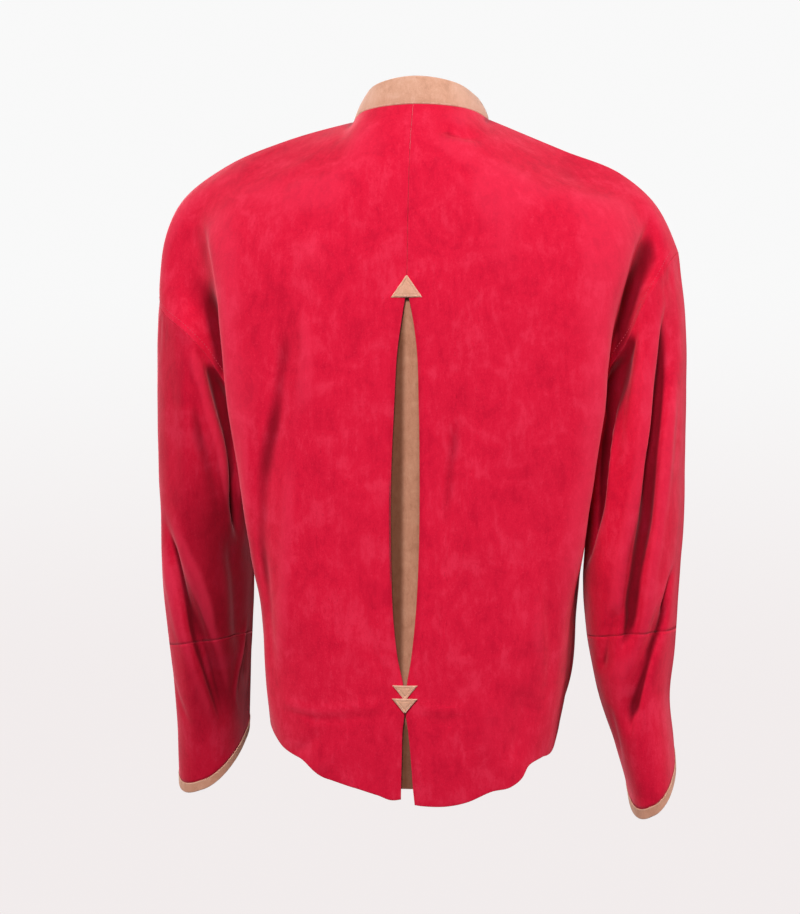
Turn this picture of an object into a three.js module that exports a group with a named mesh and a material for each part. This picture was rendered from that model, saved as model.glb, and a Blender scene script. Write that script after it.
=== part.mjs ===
import * as THREE from 'three';

// A hip-length suede folk jacket with a stand collar, in its hollow worn form, arms down.
// Millimetres. +X is the wearer's left, +Y the wearer's back, +Z is up. The origin is the middle of
// the neck opening, level with the inner ends of the shoulder seams.

const wall = { suede: 1.6, underlay: 1.4, collar: 2.4, binding: 2.6, tab: 1.4 };
const seamGap = 0.3; // between the edges of two sewn pieces, and between layers
const pleat = { stripHalfWidth: 36, depth: 5, turnIn: 2.4, fadeWidth: 60 };
const collarShape = { scaleX: 0.83, scaleY: 0.89, riseSide: 23, riseEnds: 7, bow: 1.6 };
const bindingWidth = 8;
const button = { radius: 9.5, thickness: 4, dish: 1.2 };
const buttonLevels = [-92, -200, -308, -416, -524];

const finish = {
  suede: { color: 0xd52440, roughness: 0.95, metalness: 0 },
  tan: { color: 0xcf9a7f, roughness: 0.95, metalness: 0 },
  horn: { color: 0x6b4a33, roughness: 0.45, metalness: 0 }
};

const table = (names, rows) => rows.map((row) => Object.fromEntries(names.map((name, k) => [name, row[k]])));
const point = (x, y, z) => new THREE.Vector3(x, y, z);

// Rows run from the hem (first) over the underarm (row 5) to the neckline and shoulder seam (last).
const underarmRow = 5;
const spineNames = ['centreY', 'centreZ', 'neckX', 'neckY', 'neckZ'];
const spine = table(spineNames, [
  [125, -677, 60, 123, -663],
  [126, -612, 60, 125, -606],
  [125, -525, 62, 125, -522],
  [123, -445, 64, 124, -443],
  [122, -405, 65, 123, -403],
  [121, -375, 66, 123, -373],
  [119, -310, 68, 122, -308],
  [117, -245, 70, 120, -243],
  [114, -190, 72, 116, -187],
  [109, -135, 74, 110, -131],
  [101, -82, 76, 97, -78],
  [86, -33, 76, 62, -33],
  [64, 6, 69, 0, 0]
]);

const rightHem = { centreZ: -682, neckZ: -678 };

// From the shoulder blade over the fold's crest and the valley behind it to the side seam or armhole.
const flankNames = ['bladeX', 'bladeY', 'bladeZ', 'crestX', 'crestY', 'crestZ',
  'valleyX', 'valleyY', 'valleyZ', 'edgeX', 'edgeY', 'edgeZ'];
const flank = {
  left: table(flankNames, [
    [103, 112, -641, 134, 84, -624, 149, 42, -613, 152, 0, -602],
    [107, 114, -594, 140, 86, -586, 151, 44, -580, 156, 0, -578],
    [110, 116, -515, 147, 88, -508, 156, 46, -505, 162, 0, -505],
    [116, 116, -441, 161, 88, -438, 166, 46, -440, 165, 0, -442],
    [119, 116, -402, 166, 88, -401, 166, 47, -404, 165, 0, -405],
    [122, 116, -371, 170, 87, -374, 166, 48, -384, 172, 0, -391],
    [126, 115, -306, 181, 86, -310, 168, 54, -328, 178, 34, -345],
    [130, 112, -238, 192, 84, -235, 186, 50, -266, 190, 48, -280],
    [132, 108, -180, 199, 80, -180, 207, 46, -214, 214, 54, -240],
    [135, 98, -125, 206, 70, -135, 225, 42, -170, 234, 58, -219],
    [138, 78, -78, 205, 50, -92, 239, 33, -130, 256, 42, -203],
    [142, 36, -44, 204, 26, -60, 249, 22, -98, 269, 20, -190],
    [143, 0, -19, 203, 0, -43, 251, 0, -79, 275, 0, -182]
  ]),
  right: table(flankNames, [
    [104, 113, -662, 131, 86, -638, 140, 46, -622, 140, 0, -604],
    [107, 115, -604, 139, 88, -592, 148, 44, -586, 147, 0, -584],
    [110, 117, -518, 150, 90, -512, 156, 46, -508, 157, 0, -507],
    [116, 117, -441, 167, 90, -440, 163, 48, -442, 159, 0, -444],
    [119, 117, -402, 173, 89, -404, 164, 49, -404, 161, 0, -404],
    [122, 117, -371, 178, 89, -376, 168, 50, -382, 172, 0, -389],
    [126, 116, -306, 188, 88, -312, 172, 56, -322, 178, 36, -335],
    [130, 113, -238, 193, 86, -258, 182, 55, -268, 188, 50, -275],
    [133, 108, -182, 198, 82, -210, 201, 46, -222, 207, 50, -234],
    [137, 98, -130, 209, 74, -170, 217, 42, -186, 226, 56, -198],
    [140, 78, -86, 218, 54, -125, 233, 33, -146, 242, 46, -172],
    [144, 36, -58, 213, 26, -84, 240, 24, -108, 255, 24, -149],
    [147, 0, -34, 205, 0, -59, 236, 0, -86, 262, 0, -138]
  ])
};

const chest = table([...spineNames, 'bladeX', 'bladeY', 'bladeZ'], [
  [-108, -614, 60, -107, -612, 108, -97, -608],
  [-110, -582, 62, -109, -581, 110, -99, -580],
  [-112, -510, 64, -111, -509, 113, -101, -507],
  [-113, -445, 66, -112, -444, 118, -102, -443],
  [-113, -408, 67, -112, -407, 120, -103, -406],
  [-113, -378, 68, -112, -377, 122, -103, -376],
  [-112, -320, 70, -111, -316, 126, -102, -312],
  [-110, -262, 72, -108, -256, 130, -98, -250],
  [-106, -215, 74, -102, -206, 133, -90, -196],
  [-100, -168, 75, -93, -158, 136, -77, -144],
  [-92, -125, 76, -76, -108, 140, -56, -95],
  [-80, -88, 75, -46, -60, 143, -28, -55],
  [-66, -52, 69, 0, 0, 144, 0, -21]
]);
const frontMirror = { crestX: 0.97, crestY: -0.86, valleyY: -0.9, edgeY: -0.88 }; // of the back's flank

// Half widths of the open pleat and the vent below it, on the wearer's left and right.
const opening = table(['level', 'left', 'right'], [
  [-183, 0, 0],
  [-210, 5, 6.5],
  [-234, 9, 10.5],
  [-300, 13, 13.5],
  [-368, 16, 15],
  [-440, 15.5, 14.5],
  [-513, 12, 9.5],
  [-544, 7.5, 5.5],
  [-568, 1.5, 1.2],
  [-580, 0.3, 0.3],
  [-593, 0.3, 0.3],
  [-610, 2.4, 2.4],
  [-635, 3.2, 4.8],
  [-668, 4.2, 7.3],
  [-690, 4.6, 9.8]
]);

// Outline of each sleeve at a level: outer and inner side, back and front.
const sleeveNames = ['level', 'outer', 'inner', 'back', 'front'];
const sleeve = {
  left: {
    sections: table(sleeveNames, [
      [-150, 274, 168, 60, -52],
      [-250, 277, 168, 64, -56],
      [-330, 274, 173, 66, -58],
      [-400, 269, 177, 66, -58],
      [-470, 266, 178, 64, -60],
      [-530, 261, 180, 58, -62],
      [-590, 256, 184, 48, -66],
      [-640, 255, 187, 38, -68],
      [-700, 256, 190, 28, -72]
    ]),
    elbow: { level: -534, outward: -6, backward: 0 },
    cuff: { level: -656, outward: -19, backward: -24 },
    folds: [
      { angle: [42, 131], level: [-395, -632], width: 10, depth: 8 },
      { angle: [106, 156], level: [-235, -445], width: 9, depth: 8 },
      { angle: [84, 138], level: [-215, -400], width: 11, depth: -4 }
    ]
  },
  right: {
    sections: table(sleeveNames, [
      [-120, 262, 168, 58, -52],
      [-220, 272, 169, 64, -56],
      [-330, 270, 173, 66, -58],
      [-400, 267, 171, 66, -60],
      [-470, 263, 166, 64, -60],
      [-530, 259, 172, 58, -62],
      [-590, 254, 183, 52, -70],
      [-640, 258, 200, 46, -76],
      [-700, 262, 214, 40, -80],
      [-730, 263, 217, 36, -84]
    ]),
    elbow: { level: -522, outward: 4, backward: 0 },
    cuff: { level: -676, outward: 17, backward: -27 },
    folds: [
      { angle: [48, 94], level: [-219, -478], width: 11, depth: 7 },
      { angle: [43, 112], level: [-475, -632], width: 9, depth: 6 },
      { angle: [100, 140], level: [-490, -565], width: 9, depth: 5 },
      { angle: [108, 158], level: [-240, -455], width: 8, depth: 8 }
    ]
  }
};
const boxiness = 2.3; // exponent of a sleeve's section: 2 is an ellipse, more is boxier
const armholeFade = 0.8; // share of the upper sleeve over which its section leaves the armhole's shape

// Steps between the columns centre, neck curve, neck, blade, crest, valley, edge, and between the rows.
const acrossSteps = [2, 2, 3, 3, 3, 3];
const alongSteps = [3, 3, 3, 2, 1, 2, 2, 2, 2, 2, 2, 2];
const neckColumn = 2;
const upperSleeveSteps = 11;
const lowerSleeveSteps = 7;

const sum = (list) => list.reduce((total, value) => total + value, 0);
const smooth = (t) => {
  const s = THREE.MathUtils.clamp(t, 0, 1);
  return s * s * (3 - 2 * s);
};

// Points along a smooth curve through the given points: cubic pieces, whose slope at a point is that
// of the parabola through it and its two neighbours. A curve that starts on the axis is level there.
function through(points, steps, startsOnAxis = false) {
  const last = points.length - 1;
  const length = [];
  const chord = [];
  for (let i = 0; i < last; i += 1) {
    length.push(Math.max(points[i].distanceTo(points[i + 1]), 1e-6));
    chord.push(points[i + 1].clone().sub(points[i]).divideScalar(length[i]));
  }
  const slope = points.map(() => point(0, 0, 0));
  for (let i = 1; i < last; i += 1) {
    slope[i].addScaledVector(chord[i - 1], length[i]).addScaledVector(chord[i], length[i - 1]);
    slope[i].divideScalar(length[i - 1] + length[i]);
  }
  slope[0].addScaledVector(chord[0], 1.5).addScaledVector(slope[Math.min(1, last)], -0.5);
  if (last === 1) slope[0].copy(chord[0]);
  if (startsOnAxis) slope[0].set(chord[0].x, 0, 0);
  slope[last].copy(chord[last - 1]);
  if (last > 1) slope[last].multiplyScalar(1.5).addScaledVector(slope[last - 1], -0.5);
  const curve = [];
  for (let i = 0; i < last; i += 1) {
    for (let step = 0; step < steps[i]; step += 1) {
      const t = step / steps[i];
      const at = point(0, 0, 0).addScaledVector(points[i], (1 + 2 * t) * (1 - t) ** 2);
      at.addScaledVector(slope[i], length[i] * t * (1 - t) ** 2);
      at.addScaledVector(points[i + 1], t * t * (3 - 2 * t));
      at.addScaledVector(slope[i + 1], -length[i] * t * t * (1 - t));
      curve.push(at);
    }
  }
  curve.push(points[last].clone());
  return curve;
}

// A grid of points through rows of points; the last row has a corner where neck meets shoulder.
function loft(rows) {
  const across = rows.map((row, k) => {
    if (k < rows.length - 1) return through(row, acrossSteps, true);
    const neck = through(row.slice(0, neckColumn + 1), acrossSteps.slice(0, neckColumn), true);
    return [...neck.slice(0, -1), ...through(row.slice(neckColumn), acrossSteps.slice(neckColumn))];
  });
  const columns = across[0].map((_, j) => through(across.map((row) => row[j]), alongSteps));
  return columns[0].map((_, i) => columns.map((column) => column[i]));
}

// One row of a panel's points: a quarter ellipse from the centre to the neck column, then the flank.
function panelRow(centre, side, sign, share) {
  const half = Math.SQRT1_2;
  const points = [
    point(0, centre.centreY, centre.centreZ),
    point(half * centre.neckX, centre.neckY + half * (centre.centreY - centre.neckY),
      centre.neckZ + half * (centre.centreZ - centre.neckZ)),
    point(centre.neckX, centre.neckY, centre.neckZ),
    point(share.bladeX, share.bladeY, share.bladeZ),
    point(side.crestX * share.crestX, side.crestY * share.crestY, share.crestZ),
    point(side.valleyX, side.valleyY * share.valleyY, share.valleyZ),
    point(side.edgeX, side.edgeY * share.edgeY, side.edgeZ)
  ];
  points.forEach((at) => { at.x *= sign; });
  return points;
}

const backShare = (side) => ({ ...side, crestX: 1, crestY: 1, valleyY: 1, edgeY: 1 });

function panels(sideName) {
  const sign = sideName === 'left' ? 1 : -1;
  const rows = flank[sideName];
  const topRow = rows.length - 1;
  const centre = (k) => (k === 0 && sideName === 'right' ? { ...spine[k], ...rightHem } : spine[k]);
  const back = loft(rows.map((side, k) => panelRow(centre(k), side, sign, backShare(side))));
  const front = loft(rows.map((side, k) => {
    const level = k === 0 ? { crestZ: side.edgeZ - 4, valleyZ: side.edgeZ - 1 } : side;
    const share = k === topRow ? backShare(side) : { ...level, ...chest[k], ...frontMirror };
    return panelRow(chest[k], side, sign, share);
  }));
  return { sign, back, front };
}

const tableAt = (rows, key, level) => {
  const column = (row) => point(row[key], 0, row.level);
  const descending = rows[0].level > rows[rows.length - 1].level;
  const ordered = descending ? rows : [...rows].reverse();
  if (level >= ordered[0].level) return ordered[0][key];
  if (level <= ordered[ordered.length - 1].level) return ordered[ordered.length - 1][key];
  const k = ordered.findIndex((row) => row.level < level) - 1;
  const curve = through(ordered.map(column), ordered.slice(1).map((_, i) => (i === k ? 16 : 1)));
  const inside = curve.slice(k, k + 17);
  const next = inside.findIndex((at) => at.z <= level);
  if (next <= 0) return inside[0].x;
  const t = (inside[next - 1].z - level) / (inside[next - 1].z - inside[next].z);
  return THREE.MathUtils.lerp(inside[next - 1].x, inside[next].x, t);
};

const left = panels('left');
const right = panels('right');
const centreLine = left.back.map((row) => ({ level: row[0].z, depth: row[0].y }));
const chestLine = left.front.map((row) => ({ level: row[0].z, depth: row[0].y }));
const lineDepth = (line, level) => tableAt(line, 'depth', level);

// The open pleat and vent: the edges part and roll a little inwards.
function openPleat(grid, sideName, sign) {
  grid.forEach((row) => {
    const half = tableAt(opening, sideName, row[0].z);
    row.forEach((at) => {
      const near = Math.max(0, 1 - Math.abs(at.x) / pleat.fadeWidth) ** 2;
      if (Math.abs(at.x) < 1e-6) at.y -= pleat.turnIn * Math.min(1, half / 6);
      at.x += sign * half * near;
    });
  });
}

// The front's lap: one more column past the centre, and the left front lies over the right one.
function lapFront(grid, over) {
  const wide = grid.map((row) => {
    const past = row[1].clone();
    past.x = -past.x;
    return [past, ...row.map((at) => at.clone())];
  });
  if (!over) return wide;
  const lift = wall.suede + seamGap + 0.1;
  const top = wide.length - 1;
  const fromCentre = (at) => 1 - smooth((Math.abs(at.x) - 24) / 24);
  return wide.map((row, i) => row.map((at, j) => {
    const near = j < 2 ? 1 : fromCentre(at);
    const up = wide[Math.min(i + 1, top)][j].clone().sub(wide[Math.max(i - 1, 0)][j]).normalize();
    const across = row[Math.min(j + 1, row.length - 1)].clone().sub(row[Math.max(j - 1, 0)]).normalize();
    const out = across.cross(up).normalize();
    out.multiplyScalar(-Math.sign(out.y) * lift * near);
    return at.clone().add(out).addScaledVector(up, i === top ? -near : 0);
  }));
}

// A sleeve's rings, from the armhole over the elbow join to the binding and the cuff's edge.
function sleeveRings(sideName, panel) {
  const { sections, elbow, cuff, folds } = sleeve[sideName];
  const first = sum(alongSteps.slice(0, underarmRow));
  const edge = (grid) => grid.slice(first).map((row) => row[row.length - 1].clone());
  const backEdge = edge(panel.back).reverse();
  const armhole = [...backEdge.slice(0, -1), ...edge(panel.front).slice(0, -1)];
  const turn = armhole.map((_, k) => {
    const share = k < backEdge.length - 1
      ? k / (backEdge.length - 1)
      : 1 + (k - backEdge.length + 1) / (armhole.length - backEdge.length + 1);
    return share * Math.PI;
  });
  const rounded = (value) => Math.sign(value) * Math.abs(value) ** (2 / boxiness);
  const outline = (angle, level) => {
    const at = (key) => tableAt(sections, key, level);
    const [outer, inner, back, front] = ['outer', 'inner', 'back', 'front'].map(at);
    const halfX = (outer - inner) / 2;
    const halfY = (back - front) / 2;
    let swell = 0;
    folds.forEach((fold) => {
      const t = (level - fold.level[0]) / (fold.level[1] - fold.level[0]);
      const onFold = THREE.MathUtils.degToRad(THREE.MathUtils.lerp(fold.angle[0], fold.angle[1], t));
      const away = (angle - onFold) * (halfX + halfY) / 2;
      const ends = smooth(t / 0.25) * smooth((1 - t) / 0.25);
      swell -= fold.depth * ends * Math.exp(-((away / fold.width) ** 2));
    });
    const x = (outer + inner) / 2 + (halfX + swell) * rounded(Math.cos(angle));
    const y = (back + front) / 2 + (halfY + swell) * rounded(Math.sin(angle));
    return point(panel.sign * x, y, level);
  };
  const plane = (ring, angle) => ring.level + ring.outward * Math.cos(angle) + ring.backward * Math.sin(angle);
  const ring = (levelOf, fade) => armhole.map((start, k) => {
    const at = outline(turn[k], levelOf(turn[k], start.z));
    const off = start.clone().sub(outline(turn[k], start.z));
    return at.addScaledVector(off, fade);
  });
  const { lerp } = THREE.MathUtils;
  const upper = [];
  for (let step = 0; step <= upperSleeveSteps; step += 1) {
    const t = step / upperSleeveSteps;
    const level = (angle, start) => lerp(start, plane(elbow, angle), t);
    upper.push(ring(level, 1 - smooth(t / armholeFade)));
  }
  const bindingTop = { ...cuff, level: cuff.level + bindingWidth };
  const lower = [];
  for (let step = 0; step <= lowerSleeveSteps; step += 1) {
    const t = step / lowerSleeveSteps;
    lower.push(ring((angle) => lerp(plane(elbow, angle), plane(bindingTop, angle), t), 0));
  }
  const binding = [lower[lowerSleeveSteps].map((at) => at.clone()), ring((angle) => plane(cuff, angle), 0)];
  return { upper, lower, binding };
}

// The collar stands on the neckline: each point leans in and rises, with a slight bow outwards.
function collarGrid() {
  const neckCount = sum(acrossSteps.slice(0, neckColumn));
  const neckline = (grid) => grid[grid.length - 1].slice(0, neckCount + 1).map((at) => at.clone());
  const base = [
    ...neckline(left.front), ...neckline(left.back).reverse().slice(1),
    ...neckline(right.back).slice(1), ...neckline(right.front).reverse().slice(1)
  ];
  const tops = base.map((at) => {
    const end = Math.abs(at.y) / 66;
    const rise = collarShape.riseSide + collarShape.riseEnds * end * end;
    return point(at.x * collarShape.scaleX, at.y * collarShape.scaleY, at.z + rise);
  });
  const grid = [0, 1 / 3, 2 / 3, 1].map((t) => base.map((at, k) => {
    const out = point(at.x, at.y, 0).normalize().multiplyScalar(collarShape.bow * 4 * t * (1 - t));
    return at.clone().lerp(tops[k], t).add(out);
  }));
  return grid;
}

// A point on the back near its centre, moved out by the given distance.
const onBack = (x, level, out) => {
  const k = Math.max(1, spine.findIndex((row) => row.centreZ > level));
  const t = THREE.MathUtils.clamp((level - spine[k - 1].centreZ) / (spine[k].centreZ - spine[k - 1].centreZ), 0, 1);
  const fall = (row) => (row.centreY - row.neckY) * (1 - Math.sqrt(Math.max(0, 1 - (x / row.neckX) ** 2)));
  const drop = THREE.MathUtils.lerp(fall(spine[k - 1]), fall(spine[k]), t);
  return point(x, lineDepth(centreLine, level) - drop + out, level);
};

function underlayGrid() {
  const levels = Array.from({ length: 18 }, (_, k) => THREE.MathUtils.lerp(-668, -176, k / 17));
  const across = [-1, -0.66, -0.33, 0, 0.33, 0.66, 1];
  const shallow = wall.suede / 2 + wall.underlay / 2 + seamGap + 0.5;
  return levels.map((level) => across.map((share) => {
    const into = shallow + pleat.depth * (1 - share * share);
    return onBack(share * pleat.stripHalfWidth, level, -into);
  }));
}

// The triangular tabs on the pleat: width, height and the level of the wide edge; a tab points up or down.
const tabs = {
  tab_top: { halfWidth: 15.5, height: 21.5, wideLevel: -191, points: 1, layer: 0 },
  tab_middle: { halfWidth: 12.4, height: 14, wideLevel: -566.5, points: -1, layer: 0 },
  tab_bottom: { halfWidth: 12.6, height: 14, wideLevel: -579, points: -1, layer: 1 }
};

function tabGrid({ halfWidth, height, wideLevel, points, layer }) {
  const out = wall.suede / 2 + wall.tab / 2 + seamGap + 0.15 + layer * (wall.tab + seamGap);
  const rows = [0, 0.25, 0.5, 0.75, 1].map((t) => {
    const half = THREE.MathUtils.lerp(halfWidth, 0.6, t);
    return [-1, -0.5, 0, 0.5, 1].map((share) => onBack(share * half, wideLevel + points * height * t, out));
  });
  return rows;
}

// Border points that several pieces share get one wall direction, so that their edges lie face to face.
const seamDirections = new Map();
const seamKey = (at) => [at.x, at.y, at.z].map((value) => Math.round(value * 20)).join(' ');

function wallDirections(piece) {
  const { grid, closed, inside } = piece;
  const rowCount = grid.length;
  const columnCount = grid[0].length;
  const column = (j) => (closed ? (j + columnCount) % columnCount : THREE.MathUtils.clamp(j, 0, columnCount - 1));
  const row = (i) => THREE.MathUtils.clamp(i, 0, rowCount - 1);
  const directions = grid.map((line, i) => line.map((_, j) => {
    const across = grid[i][column(j + 1)].clone().sub(grid[i][column(j - 1)]);
    const along = grid[row(i + 1)][j].clone().sub(grid[row(i - 1)][j]);
    return across.cross(along).normalize();
  }));
  const middle = [Math.floor(rowCount / 2), Math.floor(columnCount / 4)];
  const at = grid[middle[0]][middle[1]];
  const turned = directions[middle[0]][middle[1]].dot(at.clone().sub(inside(at))) < 0;
  if (turned) directions.forEach((line) => line.forEach((direction) => direction.negate()));
  return { directions, turned };
}

const isBorder = (piece, i, j) => i === 0 || i === piece.grid.length - 1
  || (!piece.closed && (j === 0 || j === piece.grid[0].length - 1));

function noteSeams(piece) {
  Object.assign(piece, wallDirections(piece));
  piece.grid.forEach((line, i) => line.forEach((at, j) => {
    if (!isBorder(piece, i, j)) return;
    const key = seamKey(at);
    if (!seamDirections.has(key)) seamDirections.set(key, {});
    const groups = seamDirections.get(key);
    groups[piece.group] = (groups[piece.group] ?? point(0, 0, 0)).add(piece.directions[i][j]);
  }));
}

const seamDirection = (at) => {
  const groups = Object.values(seamDirections.get(seamKey(at)));
  return groups.reduce((total, part) => total.add(part.clone().normalize()), point(0, 0, 0)).normalize();
};

// The closed wall round a grid: both faces and the strips along its borders, drawn in by half the seam gap.
function shell(piece) {
  const { grid, closed, directions, turned, thickness, startGap } = piece;
  const rowCount = grid.length;
  const columnCount = grid[0].length;
  const inset = grid.map((line) => line.map((at) => at.clone()));
  const lean = (i, j) => seamDirection(grid[i][j]).dot(directions[i][j]);
  const drawIn = (i, j, toI, toJ) => {
    const step = grid[toI][toJ].clone().sub(grid[i][j]);
    const gap = i === 0 && startGap ? startGap : seamGap / 2;
    inset[i][j].add(step.setLength(gap / Math.max(0.35, lean(i, j))));
  };
  for (let j = 0; j < columnCount; j += 1) {
    drawIn(0, j, 1, j);
    drawIn(rowCount - 1, j, rowCount - 2, j);
  }
  if (!closed) {
    for (let i = 0; i < rowCount; i += 1) {
      drawIn(i, 0, i, 1);
      drawIn(i, columnCount - 1, i, columnCount - 2);
    }
  }
  const positions = [];
  [0.5, -0.5].forEach((side) => {
    inset.forEach((line, i) => line.forEach((at, j) => {
      const border = isBorder(piece, i, j);
      const direction = border ? seamDirection(grid[i][j]) : directions[i][j];
      const stretch = border ? 1 / Math.max(0.6, lean(i, j)) : 1;
      const wallPoint = at.clone().addScaledVector(direction, side * thickness * stretch);
      positions.push(wallPoint.x, wallPoint.y, wallPoint.z);
    }));
  });
  const inner = rowCount * columnCount;
  const index = [];
  const quad = (a, b, c, d) => {
    if (turned) index.push(a, c, b, a, d, c);
    else index.push(a, b, c, a, c, d);
  };
  const vertex = (i, j) => i * columnCount + (j % columnCount);
  const columns = closed ? columnCount : columnCount - 1;
  for (let i = 0; i < rowCount - 1; i += 1) {
    for (let j = 0; j < columns; j += 1) {
      const [a, b, c, d] = [vertex(i, j), vertex(i, j + 1), vertex(i + 1, j + 1), vertex(i + 1, j)];
      quad(a, b, c, d);
      quad(inner + d, inner + c, inner + b, inner + a);
    }
  }
  for (let j = 0; j < columns; j += 1) {
    const last = rowCount - 1;
    quad(inner + vertex(0, j), inner + vertex(0, j + 1), vertex(0, j + 1), vertex(0, j));
    quad(vertex(last, j), vertex(last, j + 1), inner + vertex(last, j + 1), inner + vertex(last, j));
  }
  if (!closed) {
    for (let i = 0; i < rowCount - 1; i += 1) {
      const last = columnCount - 1;
      quad(vertex(i, 0), vertex(i + 1, 0), inner + vertex(i + 1, 0), inner + vertex(i, 0));
      quad(inner + vertex(i, last), inner + vertex(i + 1, last), vertex(i + 1, last), vertex(i, last));
    }
  }
  const geometry = new THREE.BufferGeometry();
  geometry.setAttribute('position', new THREE.Float32BufferAttribute(positions, 3));
  geometry.setIndex(index);
  geometry.computeVertexNormals();
  return geometry;
}

const bodyAxis = (at) => point(0, 0, at.z);
const behind = (at) => point(at.x, at.y - 50, at.z);
const sleeveAxis = (sign) => (at) => point(sign * 222, 0, at.z);

const backLeft = left.back.map((row) => row.map((at) => at.clone()));
const backRight = right.back.map((row) => row.map((at) => at.clone()));
openPleat(backLeft, 'left', left.sign);
openPleat(backRight, 'right', right.sign);

const pieces = [
  { name: 'back_left', grid: backLeft, inside: bodyAxis, thickness: wall.suede, look: 'suede', group: 'body' },
  { name: 'back_right', grid: backRight, inside: bodyAxis, thickness: wall.suede, look: 'suede', group: 'body' },
  { name: 'front_left', grid: lapFront(left.front, true), inside: bodyAxis,
    thickness: wall.suede, look: 'suede', group: 'body' },
  { name: 'front_right', grid: lapFront(right.front, false), inside: bodyAxis,
    thickness: wall.suede, look: 'suede', group: 'body' },
  { name: 'collar', grid: collarGrid(), inside: bodyAxis, thickness: wall.collar, look: 'tan', group: 'collar' },
  { name: 'pleat_underlay', grid: underlayGrid(), inside: behind, thickness: wall.underlay, look: 'tan', group: 'underlay' }
];
Object.entries(tabs).forEach(([name, tab]) => {
  pieces.push({ name, grid: tabGrid(tab), inside: behind, thickness: wall.tab, look: 'tan', group: name });
});
[['left', left], ['right', right]].forEach(([sideName, panel]) => {
  const rings = sleeveRings(sideName, panel);
  const common = { closed: true, inside: sleeveAxis(panel.sign), group: 'sleeve' };
  pieces.push(
    { ...common, name: `sleeve_upper_${sideName}`, grid: rings.upper, thickness: wall.suede, look: 'suede',
      startGap: 1.8 * seamGap },
    { ...common, name: `sleeve_lower_${sideName}`, grid: rings.lower, thickness: wall.suede, look: 'suede' },
    { ...common, name: `cuff_binding_${sideName}`, grid: rings.binding, thickness: wall.binding, look: 'tan' }
  );
});
pieces.forEach(noteSeams);

const jacket = new THREE.Group();

function addMesh(name, geometry, look) {
  const mesh = new THREE.Mesh(geometry, new THREE.MeshStandardMaterial(finish[look]));
  mesh.name = name;
  jacket.add(mesh);
  return mesh;
}

pieces.forEach((piece) => addMesh(piece.name, shell(piece), piece.look));

// A button: a turned disc with a dished face, lying on the left front's outer side.
const buttonProfile = [
  [0, 0], [button.radius - 1.2, 0], [button.radius, 1], [button.radius, button.thickness - 1],
  [button.radius - 1.2, button.thickness], [button.radius - 3.2, button.thickness],
  [button.radius - 4.4, button.thickness - button.dish], [0, button.thickness - button.dish]
].map(([x, y]) => new THREE.Vector2(x, y));

buttonLevels.forEach((level, k) => {
  const mesh = addMesh(`button_${k + 1}`, new THREE.LatheGeometry(buttonProfile, 20), 'horn');
  const above = lineDepth(chestLine, level + 10);
  const below = lineDepth(chestLine, level - 10);
  const out = wall.suede * 1.5 + 2 * seamGap + 0.4;
  mesh.rotation.x = Math.PI - Math.atan2(above - below, 20);
  mesh.position.set(0, lineDepth(chestLine, level) - out, level);
});

export default jacket;
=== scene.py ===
import math

import bpy
import numpy as np
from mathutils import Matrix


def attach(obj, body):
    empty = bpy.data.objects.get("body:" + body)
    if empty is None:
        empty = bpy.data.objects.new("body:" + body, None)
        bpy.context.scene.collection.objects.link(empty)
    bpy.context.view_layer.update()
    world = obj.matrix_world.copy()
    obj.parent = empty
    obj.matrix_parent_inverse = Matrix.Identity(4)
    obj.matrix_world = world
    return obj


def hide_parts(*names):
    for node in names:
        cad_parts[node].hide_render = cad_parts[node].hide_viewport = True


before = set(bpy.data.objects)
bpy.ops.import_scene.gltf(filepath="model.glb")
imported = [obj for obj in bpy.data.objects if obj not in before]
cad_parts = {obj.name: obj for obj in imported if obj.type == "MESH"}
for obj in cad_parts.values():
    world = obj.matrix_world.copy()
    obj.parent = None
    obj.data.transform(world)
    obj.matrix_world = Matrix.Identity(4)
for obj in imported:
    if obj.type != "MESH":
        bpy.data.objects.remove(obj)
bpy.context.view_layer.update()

# A hip-length suede folk jacket in its hollow worn form. Lengths are millimetres until a mesh is made.
# +X is the wearer's left, +Y the wearer's back, +Z is up; the origin is the middle of the neck opening.

view = dict(azimuth=187, distance=2000, height=-346, lens=76.48, shiftX=-0.023)
studio = dict(floorLevel=-1.02, floorRadius=2.4, coveRadius=4.2, coveHeight=3.2, ambient=0.16,
              wallColour=(0.945, 0.945, 0.945, 1), floorColour=(0.885, 0.84, 0.84, 1), bounce=0.16)
lights = dict(  # watts, then size and place in metres
    key=(61.5, 0.7, (0.0, 2.6, 0.75)), side=(22, 0.8, (-2.5, -0.2, -0.4)),
    leftSide=(27, 0.8, (2.6, -0.5, -0.4)), top=(14, 1.2, (-0.3, 0.5, 1.9)),
    frontKey=(46, 1.2, (1.3, -2.4, 0.9)), frontFill=(10, 1.6, (-2.2, -1.4, 0.2)))
wall = dict(suede=1.6, underlay=1.4, collar=2.4, binding=2.6, tab=1.4)
seamGap = 0.3
closedSeam = 0.04  # between the sewn edges as they show
curveSteps, foldSteps, usualFade = 24, 8, 0.35


def placed(name, data):
    made = bpy.data.objects.new(name, data)
    bpy.context.scene.collection.objects.link(made)
    return made


def makeCamera():
    turn = math.radians(view["azimuth"])
    data = bpy.data.cameras.new("camera")
    data.lens = view["lens"]
    data.sensor_width = 36
    data.shift_x = view["shiftX"]
    data.clip_end = 60
    camera = placed("camera", data)
    away = view["distance"] / 1000
    camera.location = (away * math.sin(turn), -away * math.cos(turn), view["height"] / 1000)
    camera.rotation_euler = (math.pi / 2, 0, turn)
    bpy.context.scene.camera = camera


makeCamera()
print("camera placed")


def smooth(t):
    # 3 t^2 - 2 t^3 with t held between 0 and 1
    s = np.clip(t, 0, 1)
    return s * s * (3 - 2 * s)


def unit(vectors):
    return vectors / np.maximum(np.linalg.norm(vectors, axis=-1, keepdims=True), 1e-9)


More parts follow.
